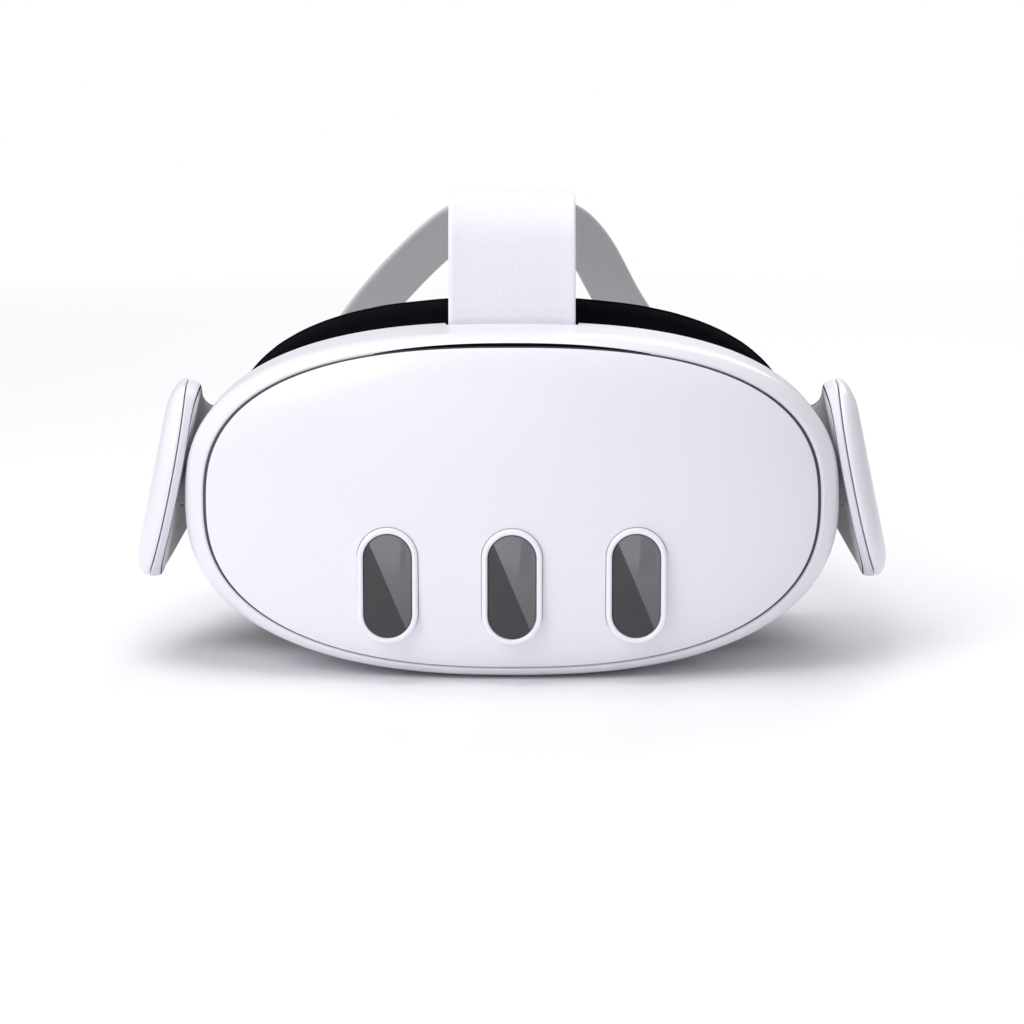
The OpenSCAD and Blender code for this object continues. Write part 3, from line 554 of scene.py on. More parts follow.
gloss_black = plastic("gloss_black_plastic", (0.012, 0.012, 0.015), 0.14, 0.003, 2500, 0.08, coat=0.6)
grey_plastic = plastic("grey_plastic", (0.20, 0.20, 0.22), 0.45, 0.016, 1600, 0.14)
nylon = plastic("gear_nylon", (0.78, 0.76, 0.68), 0.5, 0.01, 1500, 0.1)
rubber = plastic("nose_rubber", (0.03, 0.03, 0.034), 0.78, 0.03, 1200, 0.1)
screen = plastic("display_panel", (0.012, 0.012, 0.02), 0.08, 0.001, 2500, 0.02, coat=1.0)
steel = metal("polished_steel", (0.72, 0.72, 0.74), 0.2, (1, 0.06, 1))
magnesium = metal("cast_magnesium", (0.42, 0.42, 0.44), 0.5, pits=0.02)
copper = metal("copper_sheet", (0.80, 0.46, 0.30), 0.3, (0.05, 1, 1))
gold = metal("gold_plate", (0.92, 0.70, 0.34), 0.2)
foil = metal("battery_foil", (0.55, 0.56, 0.6), 0.38, (1, 1, 0.1))
strap_white = knit("strap_knit_white", (0.87, 0.87, 0.93), 1.0, 0.05, "diamond", 18.0, 0.3, 0.9, 0.95)
side_white = knit("side_strap_knit", (0.84, 0.84, 0.90), 1.2, 0.06, "rib", 12.0, 0.3, 1.2, 0.93)
# The grey knit's mid grey is painted shade of the yoke's underside.
strap_grey = knit("strap_knit_grey", (0.56, 0.56, 0.565), 1.2, 0.05, "twill", 9.0, 0.15, 1.0, 0.93)
thread_white = plastic("thread_white", (0.82, 0.82, 0.88), 0.8, 0.02, 4000, 0.0)
thread_grey = plastic("thread_grey", (0.28, 0.28, 0.29), 0.8, 0.02, 4000, 0.0)
foam = cloth_skin("foam_cover", (0.0045, 0.0043, 0.006), 0.01)
pod_xs = (-POD_PITCH, 0, POD_PITCH)
dark_window = window_glass("dark_window_glass", [(x, LENS_Z - POD_DROP) for x in pod_xs])
eyepiece = lens_glass("eyepiece_glass")
board_green = circuit("circuit_board")

SLOT_LOOKS = {
    "white_shell": white_shell, "soft_white": soft_white, "seam_rubber": seam_rubber,
    "dark_window": gloss_black, "black_plastic": black_plastic, "grey_plastic": grey_plastic,
    "frame_magnesium": magnesium, "circuit_board": board_green, "copper": copper,
    "battery_foil": foil, "steel": steel, "gold_contact": gold, "lens_glass": eyepiece,
    "display": screen, "nylon_gear": nylon, "foam": foam, "nose_rubber": rubber,
    "strap_white": side_white, "strap_grey": strap_grey,
}
for sub in frame["record"]["subparts"]:
    ob, slot = frame["nodes"][sub["node"]], sub["material_slot"]
    for holder in ob.material_slots:
        holder.material = SLOT_LOOKS[slot]
    if not ob.material_slots:
        ob.data.materials.append(SLOT_LOOKS[slot])
gear_nodes = ("link_pinion", "spacing_wheel", "lens_carrier_left", "lens_carrier_right")
for name, ob in frame["nodes"].items():
    if name not in gear_nodes:
        soft = ob.modifiers.new("edge", "BEVEL")
        soft.width, soft.segments = 0.15 * MM, 2
        soft.limit_method, soft.angle_limit = "ANGLE", math.radians(50)

# ---------- front cover ----------

face_shares = list(np.linspace(0.004, 0.9, 40)) + [0.912, 0.92]
cover_outer = [front_ring(s, 0) for s in face_shares]
cover_edge = [front_ring(COVER_SHARE - EDGE_SHARE * (1 - math.cos(a)), EDGE_R * (1 - math.sin(a)))
              for a in np.linspace(math.pi / 2, 0, 5)]
cover_inner = [front_ring(s, WALL) for s in [COVER_SHARE] + list(np.linspace(0.91, 0.004, 16))]
faceplate = build("visor_cover", [loft(cover_outer + cover_edge + cover_inner)], [white_shell])
POD_PLAY = 0.3
hole = pill(POD_W + 2 * POD_RIM + POD_PLAY, POD_H + 2 * POD_RIM + POD_PLAY)
cut(faceplate, [prism(hole, FRONT_Y - 5, FRONT_Y + 20, (x, -POD_DROP)) for x in pod_xs])
settle(faceplate, "visor", "white_shell", "faceplate")

GASKET_PLAY, GASKET_BACK = 0.0008, WALL + 1.4
near, far = COVER_SHARE + GASKET_PLAY, COVER_SHARE + SEAM_GAP - GASKET_PLAY
gasket_rings = [front_ring(share, w) for share, w in
                [(near, EDGE_R), (far, EDGE_R), (far, GASKET_BACK), (near, GASKET_BACK)]]
gasket = build("cover_seam", [loft(gasket_rings, "loop")], [gasket_grey])
settle(gasket, "visor", "seam_rubber", "faceplate_gasket")

# ---------- sensor pods ----------


def pod_face(x):
    return front_at(x, POD_DROP - POD_H / 2) - POD_PROUD


def pod_parts(steps, ends="flat"):
    """A part for each pod, from (how far outside its window, how far back) steps."""
    return [loft([standing(pill(POD_W + 2 * out, POD_H + 2 * out), pod_face(x) + back, (x, -POD_DROP))
                  for out, back in steps], ends) for x in pod_xs]


rim_steps = [(-0.02, 3.2), (0.0, 0.75), (0.08, 0.35), (0.3, 0.09), (0.62, 0.0), (1.0, 0.02), (1.33, 0.16),
             (1.56, 0.45), (POD_RIM, 0.9), (POD_RIM, 9.0), (-0.02, 9.0)]
window_steps = [(-0.15, 1.6), (-0.15, 0.62), (-0.28, 0.46), (-0.5, 0.4)]
mask_steps = [(-0.15, 2.5), (-0.15, 1.75), (-0.9, 1.75), (-0.9, 2.1)]
rims = build("pod_rims", pod_parts(rim_steps, "loop"), [white_rim])
settle(rims, "visor", "white_shell", "sensor_rims")
windows = build("pod_windows", pod_parts(window_steps), [dark_window])
settle(windows, "visor", "dark_window", "sensor_windows")
settle(build("pod_masks", pod_parts(mask_steps), [black_plastic]), "visor", "black_plastic")

# Camera faces that show faintly through the windows
CAMERA_BACK = 2.15


def camera_face(x, rise, profile, picks):
    """Part of one camera's front, on a pod's middle line."""
    centre = (x, pod_face(x) + CAMERA_BACK, -POD_DROP + rise)
    return disc_loft(profile, centre, (0, 1, 0), 48, picks)


camera_parts = []
for x in (-POD_PITCH, POD_PITCH):
    for rise, r in ((-7.2, 3.9), (7.2, 2.9)):
        profile = [(r, 0.0), (r, -0.25), (r - 0.25, -0.35), (r * 0.8, -0.3), (r * 0.72, 0.0),
                   (r * 0.5, -0.14), (r * 0.25, -0.22), (0.02, -0.25)]
        camera_parts.append(camera_face(x, rise, profile, [0, 0, 0, 1, 1, 1, 1]))
for rise in (-7, 7):
    profile = [(3.0, 0.0), (3.0, -0.25), (2.4, -0.3), (1.8, -0.1), (0.02, -0.2)]
    camera_parts.append(camera_face(0, rise, profile, [0, 0, 1, 1]))
camera_faces = build("camera_faces", camera_parts, [grey_plastic, gloss_black])
settle(camera_faces, "visor", "black_plastic")

# ---------- casing ----------

SEAM_END = COVER_SHARE + SEAM_GAP
RIM_R = 1.1
lip_in = [front_ring(SEAM_END + EDGE_SHARE * (1 - math.cos(a)), EDGE_R * (1 - math.sin(a)))
          for a in np.linspace(0, math.pi / 2, 5)]
shell_front = [front_ring(share, 0) for share in
               (0.952, 0.96, 0.968, 0.975, 0.981, 0.986, 0.99, 0.9935, 0.9965, 0.9985, 1)]
shell_wall = [wall_ring(k, 0) for k in (0.1, 0.25, 0.4, 0.55, 0.7, 0.85, 0.94)]
rim_round = []
for a in np.linspace(0, math.pi, 9):
    ring = wall_ring(1, WALL / 2 * (1 - math.cos(a)))
    ring[:, 1] -= RIM_R * (1 - math.sin(a))
    rim_round.append(ring)
shell_inner = [wall_ring(k, WALL) for k in (0.9, 0.6, 0.3, 0.0)]
shell_inner += [front_ring(0.97, WALL), front_ring(SEAM_END, WALL)]
casing = build("visor_casing", [loft(lip_in + shell_front + shell_wall + rim_round + shell_inner, "loop")],
               [white_shell])


def under(x):
    """Place on the casing's underside at x, and the surface's tilt there in degrees."""
    z = outline_z(x)
    slope = math.atan2(abs(x) ** (OUTLINE_POWER - 1) / HALF_W ** OUTLINE_POWER,
                       z ** (OUTLINE_POWER - 1) / HALF_H ** OUTLINE_POWER)
    return (x, UNDER_Y, -z), -np.sign(x) * math.degrees(slope)


def hole_under(x, part, y=None):
    """The part as a tool square to the underside at x."""
    place, tilt_deg = under(x)
    return tilted(part, place if y is None else (x, y, place[2]), tilt_deg)


PIVOT_Y, PIVOT_Z, HUB_R = 2, 3, 6
UNDER_Y = -1
SIDE_CAMERA_X, SIDE_CAMERA_Y, SIDE_CAMERA_R = 76, -3.4, 4.7
ROCKER_X, ROCKER_HOLE = -42, (23, 6)
POWER_X, POWER_HOLE_R = 62, 3.7
WHEEL_SLOT, WHEEL_Y = (19, 6, 1.2), -1.5
DOCK_PLAY, DOCK_CORNER = 0.4, 2.0
USB_HOLE, JACK_HOLE_R = (9.4, 3.6), 3.1
STRAP_W, STRAP_PLAY = 36, 0.8
SLOT_Z = (36, 52)                         # the strap's slot through the casing
BELOW = -HALF_H - 3                       # where tools from underneath start
DOCK_POCKET, WHEEL_POCKET = 5, 12
REACH = 6                                 # how far a tool goes to each side of the surface
BAR_Y, BAR_Z = REAR_Y - 1.5, HALF_H - 5


def upright_hole(radius):
    return disc_loft([(radius, -REACH), (radius, REACH)], (0, 0, 0), (0, 0, 1))


dock_lo, dock_hi = node_box("dock_pad")
dock_w, dock_d = (dock_hi - dock_lo)[:2] + DOCK_PLAY
usb_x, jack_x, wheel_x = (middle(node)[0] for node in ("usb_port", "audio_jack", "spacing_wheel"))
tools = [
    upright(rounded_box(dock_w, dock_d, DOCK_CORNER), BELOW, -HALF_H + DOCK_POCKET),
    upright(rounded_box(*WHEEL_SLOT), BELOW, -HALF_H + WHEEL_POCKET, (wheel_x, WHEEL_Y, 0)),
    hole_under(ROCKER_X, upright(pill(*ROCKER_HOLE), -REACH, REACH)),
    hole_under(POWER_X, upright_hole(POWER_HOLE_R)),
    upright(pill(*USB_HOLE), -REACH, REACH, under(usb_x)[0]),
    disc_loft([(JACK_HOLE_R, -30), (JACK_HOLE_R, 0)], (jack_x, UNDER_Y, 0), (0, 0, 1)),
]
for side in (-1, 1):
    tools.append(rod(HUB_R + 0.1, side * (HALF_W - 12), side * (HALF_W + 4), PIVOT_Y, PIVOT_Z))
    tools.append(hole_under(side * SIDE_CAMERA_X, upright_hole(SIDE_CAMERA_R), SIDE_CAMERA_Y))
half_slot = STRAP_W / 2 + STRAP_PLAY
tools.append(block((-half_slot, BAR_Y - 4.4, SLOT_Z[0]), (half_slot, BAR_Y + 15, SLOT_Z[1])))
cut(casing, tools)

# The vent over the cover, which narrows towards its ends
VENT_END = 0.28                           # share of its height left at its ends
vent_rings = []
for x in np.linspace(-VENT_HALF_W, VENT_HALF_W, 61):
    low, high = (outline_z(x, share * HALF_W, share * HALF_H) for share in (COVER_SHARE, VENT_SHARE))
    high = low + (high - low) * (VENT_END + (1 - VENT_END) * (1 - (abs(x) / VENT_HALF_W) ** 2))
    vent_rings.append(np.array([[x, FRONT_Y - 1, low], [x, FRONT_Y - 1, high],
                                [x, FRONT_Y + 10, high], [x, FRONT_Y + 10, low]]))
# The vent's cut walls take the near-black seam_rubber look as painted shade inside the slot.
cut(casing, [loft(vent_rings)], [seam_rubber])
settle(casing, "visor", "white_shell", "body_shell")

# ---------- side arms ----------

ARM_BACK, ARM_END_X = 104, 87
ARM_LINE = [[95.8, -10, 2.5], [101.2, 14, 3], [100.6, 60, 2.5], [ARM_END_X, ARM_BACK, 2]]
ARM_HALF, ARM_END_HALF, ARM_LEAN = 28, 12.5, 12
NOSE_SHARE, NOSE_POWER = 0.24, 2.3
u_fine = np.linspace(0, 1, 241)
arm_length = run_along(bezier(ARM_LINE, u_fine))
HUB_BORE = HUB_R + 0.12
CAP_R = 8.5                               # crown radius of the outer shell's edge
PAD_INSET = 3.4
PIVOT_X = (80, 97.5)
GRILLE_X, GRILLE_Y, GRILLE_Z = (88, 97.2), 29.2, (-9, 1)
GRILLE_PITCH, GRILLE_W, GRILLE_COUNT = 4, 1.6, 4


def arm_half(u):
    return ARM_HALF + (ARM_END_HALF - ARM_HALF) * smooth(0.34, 0.9, u)


def arm_out(u):
    return 4.4 - 1.8 * smooth(0.35, 0.95, u)


def arm_in(u):
    clear_of_casing = 1 - 0.34 * (1 - smooth(0.04, 0.24, u))
    return clear_of_casing * (4.3 - 1.9 * smooth(0.35, 0.95, u))


def arm_silhouette():
    """Side view of an arm as (distance along, height), from the tail's top round the nose."""
    a = np.linspace(0, math.pi / 2, 30)
    nose_u = NOSE_SHARE * (1 - np.cos(a) ** (2 / NOSE_POWER))
    nose_v = arm_half(nose_u) * np.sin(a) ** (2 / NOSE_POWER)
    body_u = np.linspace(NOSE_SHARE, 0.975, 44)[1:]
    u = np.concatenate([nose_u, body_u])
    v = np.concatenate([nose_v, arm_half(body_u)])
    s = np.interp(u, u_fine, arm_length)
    end_s, end_v = arm_length[-1], arm_half(0.99)
    b = np.linspace(0, math.pi / 2, 7)[1:]
    r = end_s - s[-1]
    s = np.concatenate([s, s[-1] + r * np.sin(b)])
    v = np.concatenate([v, end_v - r * (1 - np.cos(b))])
    top = np.stack([s, v], 1)[::-1]
    bottom = np.stack([s, -v], 1)[1:]
    tail = np.stack([np.full(7, end_s), np.linspace(-v[-1], v[-1], 9)[1:-1]], 1)
    return np.vstack([top, bottom, tail])


SIDE_VIEW = arm_silhouette()


def inset(d):
    """The silhouette moved inwards by d millimetres, by less at the thin tail."""
    ahead, behind = neighbours(SIDE_VIEW)
    h = unit(ahead - behind)
    along = SIDE_VIEW[:, :1] / arm_length[-1]
    return SIDE_VIEW + d * (1 - 0.7 * smooth(0.5, 0.9, along)) * np.stack([-h[:, 1], h[:, 0]], 1)


def arm_place(sv, f):
    """Point on an arm: sv along and up it, f outwards from its seam."""
    u = np.interp(sv[:, 0], arm_length, u_fine)
    c = bezier(ARM_LINE, u)
    lean = np.radians(ARM_LEAN * (1 - smooth(0.3, 1, u)))
    v = sv[:, 1]
    return np.stack([c[:, 0] + f * np.cos(lean) - v * np.sin(lean), c[:, 1],
                     c[:, 2] + f * np.sin(lean) + v * np.cos(lean)], 1)


def arm_level(sv, level, thickness):
    """Ring on an arm at a height worked out from the shell's thickness there."""
    return arm_place(sv, level(thickness(np.interp(sv[:, 0], arm_length, u_fine))))


def arm_ring(d, level, thickness):
    return arm_level(inset(d), level, thickness)


def arm_fill(d, level, thickness):
    """Rings that close a face from an inset ring to the arm's middle line."""
    edge = inset(d)
    first, last = 26.0, arm_length[-1] - ARM_END_HALF
    spine = np.stack([np.clip(edge[:, 0], first, last), np.zeros(len(edge))], 1)
    return [arm_level(edge * (1 - q) + spine * q, level, thickness)
            for q in (0.15, 0.3, 0.45, 0.6, 0.75, 0.9, 1)]


def at_level(value):
    return lambda t: 0 * t + value


def arm_start(sign, thickness):
    """Rings from the middle of an arm shell's seam face round its first edge."""
    seam = at_level(sign * 0.15)
    rings = arm_fill(0.5, seam, thickness)[::-1] + [arm_ring(0.5, seam, thickness)]
    return rings + [arm_ring(d, at_level(sign * level), thickness) for d, level in ((0.12, 0.25), (0, 0.5))]


def arm_cap():
    """Outer shell: a crowned cap with a broad rounded edge."""
    rings = arm_start(1, arm_out)
    for a in np.radians(np.linspace(12, 90, 9)):
        crown = lambda t, share=math.sin(a): 0.5 + (t - 0.5) * share
        rings.append(arm_ring(CAP_R * (1 - math.cos(a)), crown, arm_out))
    rings += arm_fill(CAP_R, lambda t: t, arm_out)
    return loft(rings, "none")


def arm_body():
    """Inner shell: a wall, a groove painted near-black as the shadow between arm and casing, and a soft grey pad
    towards the head.
    """
    rings = arm_start(-1, arm_in)
    picks = [0] * (len(rings) - 1)
    for d, share, pick in [(0.15, 0.3, 0), (0.45, 0.6, 0), (0.8, 0.79, 0), (1.0, 0.84, 0),
                           (2.2, 0.845, 1), (2.2, 0.91, 1), (1.6, 0.915, 1),
                           (1.75, 0.93, 2), (2.3, 0.97, 2), (PAD_INSET, 1.0, 2)]:
        rings.append(arm_ring(d, lambda t, s=share: -t * s, arm_in))
        picks.append(pick)
    fill = arm_fill(PAD_INSET, lambda t: -t, arm_in)
    return loft(rings + fill, "none", picks + [2] * len(fill))


for side, name in SIDES:
    flip = (lambda p: p) if side > 0 else mirrored
    pivot = rod(HUB_BORE, side * PIVOT_X[0], side * PIVOT_X[1], PIVOT_Y, PIVOT_Z)
    cap = build(f"arm_cap_{name}", [flip(arm_cap())], [white_shell], 40)
    cut(cap, [pivot], [seam_rubber], 40)
    settle(cap, "head_strap", "white_shell", f"arm_outer_{name}")
    # The groove takes the near-black seam_rubber look as painted shadow.
    inner = build(f"arm_body_{name}", [flip(arm_body())], [soft_white, seam_rubber, pad_grey], 40)
    grille = [block((side * GRILLE_X[0], y, GRILLE_Z[0]), (side * GRILLE_X[1], y + GRILLE_W, GRILLE_Z[1]))
              for y in GRILLE_Y + GRILLE_PITCH * np.arange(GRILLE_COUNT)]
    cut(inner, [pivot] + grille, [seam_rubber], 40)
    settle(inner, "head_strap", "soft_white", f"arm_inner_{name}")

# ---------- woven bands ----------


def band_section(width, thick):
    """Flat band with rounded sides and a slightly thicker hem: (across, out) points round it."""
    h, w = thick / 2, width / 2
    side = [(w, 0), (w - 0.06, 0.55 * h), (w - 0.3, 0.92 * h), (w - 0.8, 1.06 * h), (w - 1.5, 1.06 * h),
            (w - 2.1, 0.98 * h), (w - 2.6, 0.9 * h)]
    flat = [(a, 0.9 * h) for a in np.linspace(w - 2.6, 2.6 - w, 9)[1:-1]]
    top = side + flat + [(-a, b) for a, b in reversed(side)]
    return np.array(top + [(a, -b) for a, b in reversed(top[1:-1])])


def band(centres, across, out, width, thick):
    """Part and weave coordinates for a band along centres; across and out are unit vectors."""
    section = band_section(width, thick)
    run = run_along(centres)
    rings, weave = [], []
    for i in range(len(centres)):
        squeeze = 1.0 if 0 < i < len(centres) - 1 else 0.55
        rings.append(centres[i] + section[:, :1] * across[i] + squeeze * section[:, 1:] * out[i])
        weave.append(np.stack([np.full(len(section), run[i]), section[:, 0], np.sign(section[:, 1])], 1))
    return loft(rings), np.vstack(weave)


def woven(name, strip, look):
    """One piece from a band, each point keeping its place in the weave."""
    part, weave = strip
    mesh, _ = joined(name, [part])
    kept = mesh.attributes.new("weave", "FLOAT_VECTOR", "POINT")
    kept.data.foreach_set("vector", weave.astype(np.float32).ravel())
    clean(mesh)
    return link(name, mesh, [look], 50)


def resample(path, step):
    """The path rounded at its corners and cut into even steps."""
    for _ in range(3):
        a, b = path[:-1], path[1:]
        cut_corners = np.stack([0.75 * a + 0.25 * b, 0.25 * a + 0.75 * b], 1).reshape(-1, path.shape[1])
        path = np.vstack([path[:1], cut_corners, path[-1:]])
    run = run_along(path)
    at = np.linspace(0, run[-1], max(8, int(run[-1] / step)))
    return np.stack([np.interp(at, run, path[:, k]) for k in range(path.shape[1])], 1)


def headings(path):
    h = np.empty_like(path)
    h[1:-1] = path[2:] - path[:-2]
    h[0], h[-1] = path[1] - path[0], path[-1] - path[-2]
    return unit(h)


WANDER, WANDER_RATE = 0.12, 0.045


def drift(p):
    """Slow, even wander that keeps a band from looking ruled."""
    return WANDER * (np.sin(WANDER_RATE * p[:, 0] * 1.3) * np.cos(WANDER_RATE * p[:, 1])
                     + 0.5 * np.sin(2.1 * WANDER_RATE * p[:, 1] + 0.9))


STITCH = 2.0


def stitches(name, points, along, out, look, body, slot, radius):
    """Sewn thread: one small rounded stitch per point."""
    parts = []
    for p, t, n in zip(points, along, out):
        side = unit(np.cross(t, n))
        rings = []
        for q in np.linspace(-1, 1, 7):
            r = radius * math.sqrt(max(0.0, 1 - q * q)) + 0.01
            a = turn(8)[:, None]
            sag = -0.25 * radius * (1 - math.cos(q * math.pi))
            rings.append(p + t * q * STITCH / 2 + n * sag + r * (np.cos(a) * side + np.sin(a) * n))
        parts.append(loft(rings))
    return settle(build(name, parts, [look], 60), body, slot)


# The top strap: a long inner run, round the bar, and a shorter tail folded back outside it
WEB_T = 1.8
FOLD_RISE, FOLD_R, SLOPE = 82, 11, 2
LAYER_GAP = 2.1
TOP_ROLL = -0.035                         # the photo's strap hangs a little higher on the wearer's right
CROWN_Y = 164
BAR_R, BAR_PLAY = 1.6, 0.35
tan_slope, slope_rad = math.tan(math.radians(SLOPE)), math.radians(SLOPE)
FOLD_MID = np.array([BAR_Y + FOLD_R, FOLD_RISE - FOLD_R])
FOLD_END = FOLD_MID + FOLD_R * np.array([math.sin(slope_rad), math.cos(slope_rad)])


def slope_at(y):
    return FOLD_END[1] - (y - FOLD_END[0]) * tan_slope


bend_angles = (math.pi / 2 + slope_rad) * np.linspace(0, 1, 17)[1:]
arch = np.vstack([[[BAR_Y, BAR_Z + 10], [BAR_Y, FOLD_RISE - FOLD_R]],
                  FOLD_MID + FOLD_R * circle(bend_angles) * [-1, 1],
                  [[60, slope_at(60)], [CROWN_Y, slope_at(CROWN_Y)]]])


def beside(path, d):
    h = headings(path)
    return path + d * np.stack([-h[:, 1], h[:, 0]], 1)


loop_r = BAR_R + BAR_PLAY + WEB_T / 2
bar_loop = np.array([BAR_Y, BAR_Z]) + loop_r * circle(np.radians(np.linspace(180, 360, 19)))
top_path = np.vstack([beside(arch, LAYER_GAP / 2)[:-1][::-1], bar_loop, beside(arch, -LAYER_GAP / 2)])
top_path = resample(top_path, 2.0)
heading = headings(top_path)
ups = smooth(BAR_Z, FOLD_RISE, top_path[:, 1]) * (1 - smooth(60, 150, top_path[:, 0]))
roll = TOP_ROLL * ups
centres = np.stack([np.zeros(len(top_path)), top_path[:, 0], top_path[:, 1]], 1)
across = unit(np.stack([np.ones(len(roll)), np.zeros(len(roll)), roll], 1))
out = unit(np.stack([np.zeros(len(heading)), -heading[:, 1], heading[:, 0]], 1))
top_strap = woven("top_strap_band", band(centres, across, out, STRAP_W, WEB_T), strap_white)
settle(top_strap, "top_strap", "strap_white", "top_strap")

# Side and rear straps lie in one plane that drops towards the back
STRAP_DROP = math.radians(6)
ARC_BACK, REAR_R, SIDE_H = 51, 78, 24
BRANCH_ANGLE = 34
TAIL_Z = 2


def on_strap(p):
    p = np.atleast_2d(p)
    return np.stack([p[:, 0], ARM_BACK + p[:, 1] * math.cos(STRAP_DROP) + p[:, 2] * math.sin(STRAP_DROP),
                     TAIL_Z - p[:, 1] * math.sin(STRAP_DROP) + p[:, 2] * math.cos(STRAP_DROP)], 1)


def rear_point(r, angle, rise, side=1):
    """Place above an arc of radius r in the strap plane."""
    return on_strap([side * r * math.cos(angle), ARC_BACK + r * math.sin(angle), rise])[0]


UP_STRAP = np.array([0, math.sin(STRAP_DROP), math.cos(STRAP_DROP)])


def edge_band(path2, side=1):
    """Side or rear band standing on edge along a path in the strap plane."""
    path = np.stack([side * path2[:, 0], path2[:, 1], np.zeros(len(path2))], 1)
    h = headings(path)
    normal = side * np.stack([h[:, 1], -h[:, 0], np.zeros(len(h))], 1)
    path = path + normal * drift(path)[:, None]
    turned = on_strap(normal) - on_strap([0, 0, 0])
    return band(on_strap(path), np.tile(UP_STRAP, (len(path), 1)), unit(turned), SIDE_H, WEB_T)


start = np.array([ARM_END_X, 1.4])
into_arm = unit(np.array([13.5, -44.0]))
lead = bezier([start, start - 13 * into_arm, [REAR_R, 34], [REAR_R, ARC_BACK]], np.linspace(0, 1, 25))
rear_angles = np.radians(np.linspace(0, BRANCH_ANGLE, 16))[1:]
rear_arc = np.array([0, ARC_BACK]) + REAR_R * circle(rear_angles)
side_path = resample(np.vstack([[start + 4.5 * into_arm], lead, rear_arc]), 2.5)
for side, name in SIDES:
    piece = woven(f"side_strap_band_{name}", edge_band(side_path, side), side_white)
    settle(piece, "head_strap", "strap_white", f"side_strap_{name}")
angles = np.radians(np.linspace(BRANCH_ANGLE + 0.03, 180 - BRANCH_ANGLE - 0.03, 70))
rear = woven("rear_strap_band", edge_band(np.array([0, ARC_BACK]) + REAR_R * circle(angles)), side_white)
settle(rear, "head_strap", "strap_white", "rear_strap")

# Crown yoke: one grey band over the crown from the rear strap on one side to that on the other, its grey painted
# in as the shade on the strap's underside
YOKE_Y = 152
YOKE_RISE = slope_at(YOKE_Y) - 4.6
YOKE_SHIFT = 9.5                          # how far the wearer's left branch leans in, as in the photo
BRANCH_W, LAP = 18, 14
lap_r = REAR_R + WEB_T + 0.15
branch_rad = math.radians(BRANCH_ANGLE)
cos_b, sin_b = math.cos(branch_rad), math.sin(branch_rad)
lap_top = rear_point(lap_r, branch_rad, SIDE_H / 2 + 2)
BRANCH_LINE = [[0, YOKE_Y, YOKE_RISE], [23, YOKE_Y + 2, YOKE_RISE + 0.6], lap_top + 6 * UP_STRAP, lap_top]


def branch_at(u):
    return bezier(BRANCH_LINE, u) if u <= 1 else lap_top - (u - 1) * LAP * UP_STRAP


def branch_frame(u):
    down, outward = smooth(0, 0.24, u), smooth(0.45, 1, u)
    facing = (1 - outward) * ((1 - down) * np.array([0, 0.05, 1]) + down * np.array([0.4, 0.83, 0.38]))
    facing = facing + outward * np.array([cos_b, sin_b, 0])
    along = unit(branch_at(u + 0.01) - branch_at(u - 0.01))
    side = unit(np.cross(facing, along))
    return branch_at(u), side, unit(np.cross(along, side))


yoke_u = np.concatenate([np.linspace(0, 1, 44), [1.15, 1.4, 1.7, 2.0]])
c, s, n = (np.array(part) for part in zip(*[branch_frame(u) for u in yoke_u]))
flip = np.array([-1, 1, 1])
arched = c + X * (0.6 * np.sin(math.pi * np.clip(yoke_u / 0.5, 0, 1))
                  - YOKE_SHIFT * smooth(0.2, 0.6, yoke_u) * (1 - smooth(0.66, 0.98, yoke_u)))[:, None]
c = np.vstack([(c * flip)[:0:-1], arched])
s = np.vstack([(s * flip * -1)[:0:-1], s])
n = np.vstack([(n * flip)[:0:-1], n])
yoke = woven("crown_yoke_band", band(c, s, n, BRANCH_W, WEB_T), strap_grey)
settle(yoke, "head_strap", "strap_grey", "crown_yoke")

# Sewn seams: the folded tail of the top strap, and the yoke's laps on the rear strap


def box_seam(at, u, v, w, h, pitch):
    """Points and directions round a box of stitches with a cross in it."""
    pts, dirs = [], []
    corners = np.array([(-w, -h), (w, -h), (w, h), (-w, h)])
    for i, j in ((0, 1), (1, 2), (2, 3), (3, 0), (0, 2), (1, 3)):
        a, b = corners[i], corners[j]
        length = np.linalg.norm(b - a)
        d = (b - a) / length
        for q in np.arange(pitch / 2, length - pitch / 4, pitch):
            p = a + d * q
            pts.append(at + u * p[0] + v * p[1])
            dirs.append(u * d[0] + v * d[1])
    return pts, dirs


SEAM_Y, SEAM_SUNK = 51, 0.12
seam_at = np.array([0, SEAM_Y, slope_at(SEAM_Y) + LAYER_GAP / 2 + WEB_T / 2 - SEAM_SUNK])
pts, dirs = box_seam(seam_at, unit([1, 0, TOP_ROLL]), unit([0, 1, -tan_slope]), 13, 5.5, 2.7)
stitches("top_strap_seam", pts, dirs, [unit([0, tan_slope, 1])] * len(pts), thread_white, "top_strap",
         "strap_white", 0.15)
lap_pts, lap_dirs, lap_out = [], [], []
for side in (1, -1):
    mid = rear_point(lap_r + WEB_T / 2 - 0.05, branch_rad, 6, side)
    tangent = np.array([side * -sin_b, cos_b * math.cos(STRAP_DROP), -cos_b * math.sin(STRAP_DROP)])
    normal = np.array([side * cos_b, sin_b * math.cos(STRAP_DROP), -sin_b * math.sin(STRAP_DROP)])
    p, d = box_seam(mid, tangent, UP_STRAP, 6.6, 4.4, 2.6)
    lap_pts += p
    lap_dirs += d
    lap_out += [normal] * len(p)
stitches("yoke_lap_seam", lap_pts, lap_dirs, lap_out, thread_grey, "head_strap", "strap_grey", 0.2)

# ---------- sliders on the rear strap ----------

SLIDER_START, SLIDER_ARC = 67, 15
SLIDER_OUTER = (6.4, SIDE_H + 6)
SLIDER_BORE = (WEB_T + 0.8, SIDE_H + 0.8)
SLIDER_END_R = 1.3


